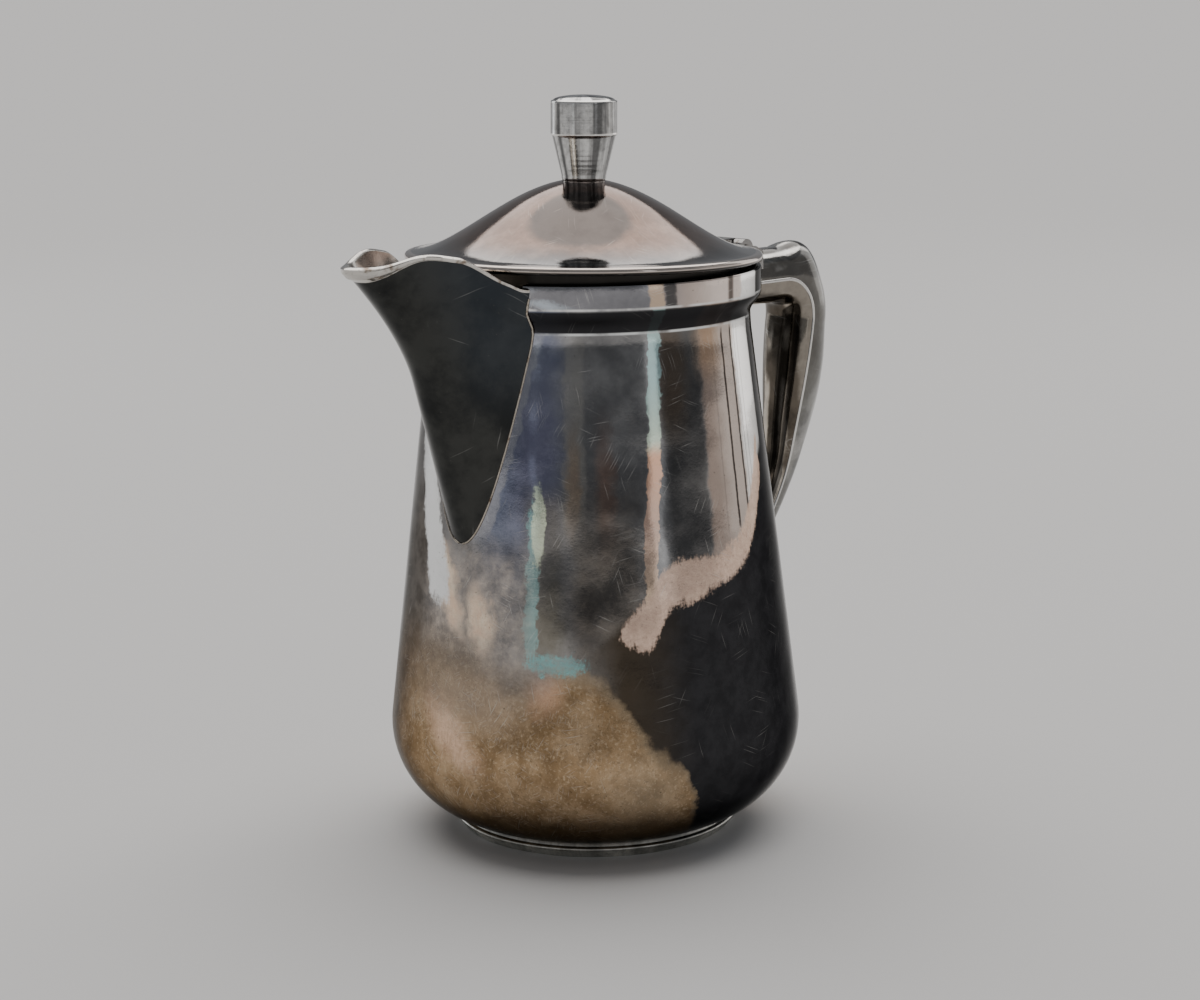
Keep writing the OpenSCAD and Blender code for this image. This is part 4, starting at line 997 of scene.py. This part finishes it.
# ---------------- stage
scene = bpy.context.scene
FLOOR = 30  # m from the middle to each edge
floor_mesh = bpy.data.meshes.new("floor")
corners = ((-1, -1), (1, -1), (1, 1), (-1, 1))
floor_mesh.from_pydata([(x * FLOOR, y * FLOOR, 0) for x, y in corners], [], [(0, 1, 2, 3)])
floor = bpy.data.objects.new("floor", floor_mesh)
scene.collection.objects.link(floor)
paint = bpy.data.materials.new("floor")
paint.use_nodes = True
for socket, value in (("Base Color", (0.66, 0.655, 0.65, 1)), ("Roughness", 0.85), ("Specular IOR Level", 0.2)):
    paint.node_tree.nodes["Principled BSDF"].inputs[socket].default_value = value
floor_mesh.materials.append(paint)

world = bpy.data.worlds.new("studio")
scene.world = world
world.use_nodes = True
for socket, value in (("Color", (0.22, 0.225, 0.235, 1)), ("Strength", 1.0)):
    world.node_tree.nodes["Background"].inputs[socket].default_value = value


def add_light(name, kind, color, energy, direction, place=(0, 0, 0)):
    data = bpy.data.lights.new(name, kind)
    data.energy, data.color = energy, color
    ob = bpy.data.objects.new(name, data)
    ob.location = place
    ob.rotation_euler = direction.to_track_quat("-Z", "Y").to_euler()
    scene.collection.objects.link(ob)
    return data


def softbox(name, angle, dist, low, high, width, radiance, color):
    """An upright soft light panel at an angle to the right of the camera's direction, facing the jug."""
    a = rad(angle)
    out = (BACK * math.cos(a) + RIGHT * math.sin(a)) * dist
    light = add_light(name, "AREA", color, radiance * math.pi * width * (high - low), -out,
                      out + Vector((0, 0, (low + high) / 2)))
    light.shape, light.size, light.size_y = "RECTANGLE", width, high - low


softbox("right_panel", 99, 0.9, 0.02, 0.7, 0.60, 0.14, (1, 0.93, 0.88))
softbox("right_window", 132, 0.9, 0.0, 0.7, 0.44, 0.95, (1, 0.98, 0.96))
softbox("strip", 41.4, 1.2, 0.03, 0.8, 0.17, 0.56, (0.97, 0.98, 1))
softbox("teal_strip", -37, 1.2, 0.02, 0.13, 0.12, 0.25, (0.9, 1, 1))
softbox("back_left", -134, 0.9, 0.0, 0.55, 0.36, 1.1, (0.95, 0.98, 1))
# A broad soft light from overhead, tilted back: its reflection is the lid's bright patch.
SUN_TILT, SUN_SPREAD = rad(24), rad(76)
sun_down = BACK * math.sin(SUN_TILT) + Vector((0, 0, -math.cos(SUN_TILT)))
add_light("overhead_softlight", "SUN", (1, 0.97, 0.94), 2.7, sun_down).angle = SUN_SPREAD

# The camera was fitted to the outline in the photograph, 1200 by 1000 pixels: metres and radians.
FOCAL, PICTURE_W, SENSOR = 2665.6, 1200, 36
CAM_BACK, CAM_H, PITCH, YAW, ROLL = 0.4409, 0.1455, 0.2019, 0.0028, -0.0132
camera = bpy.data.cameras.new("camera")
camera.sensor_width, camera.lens = SENSOR, SENSOR * FOCAL / PICTURE_W
camera.clip_start, camera.clip_end = 0.01, 50
camera_ob = bpy.data.objects.new("camera", camera)
scene.collection.objects.link(camera_ob)
ahead = -BACK * math.cos(YAW) + RIGHT * math.sin(YAW)
level = RIGHT * math.cos(YAW) + BACK * math.sin(YAW)
look = ahead * math.cos(PITCH) - Vector((0, 0, math.sin(PITCH)))
up = level.cross(look)
right_v = level * math.cos(ROLL) + up * math.sin(ROLL)
up_v = up * math.cos(ROLL) - level * math.sin(ROLL)
pose = Matrix((right_v, up_v, -look)).transposed().to_4x4()
pose.translation = BACK * CAM_BACK + Vector((0, 0, CAM_H))
camera_ob.matrix_world = pose
scene.camera = camera_ob
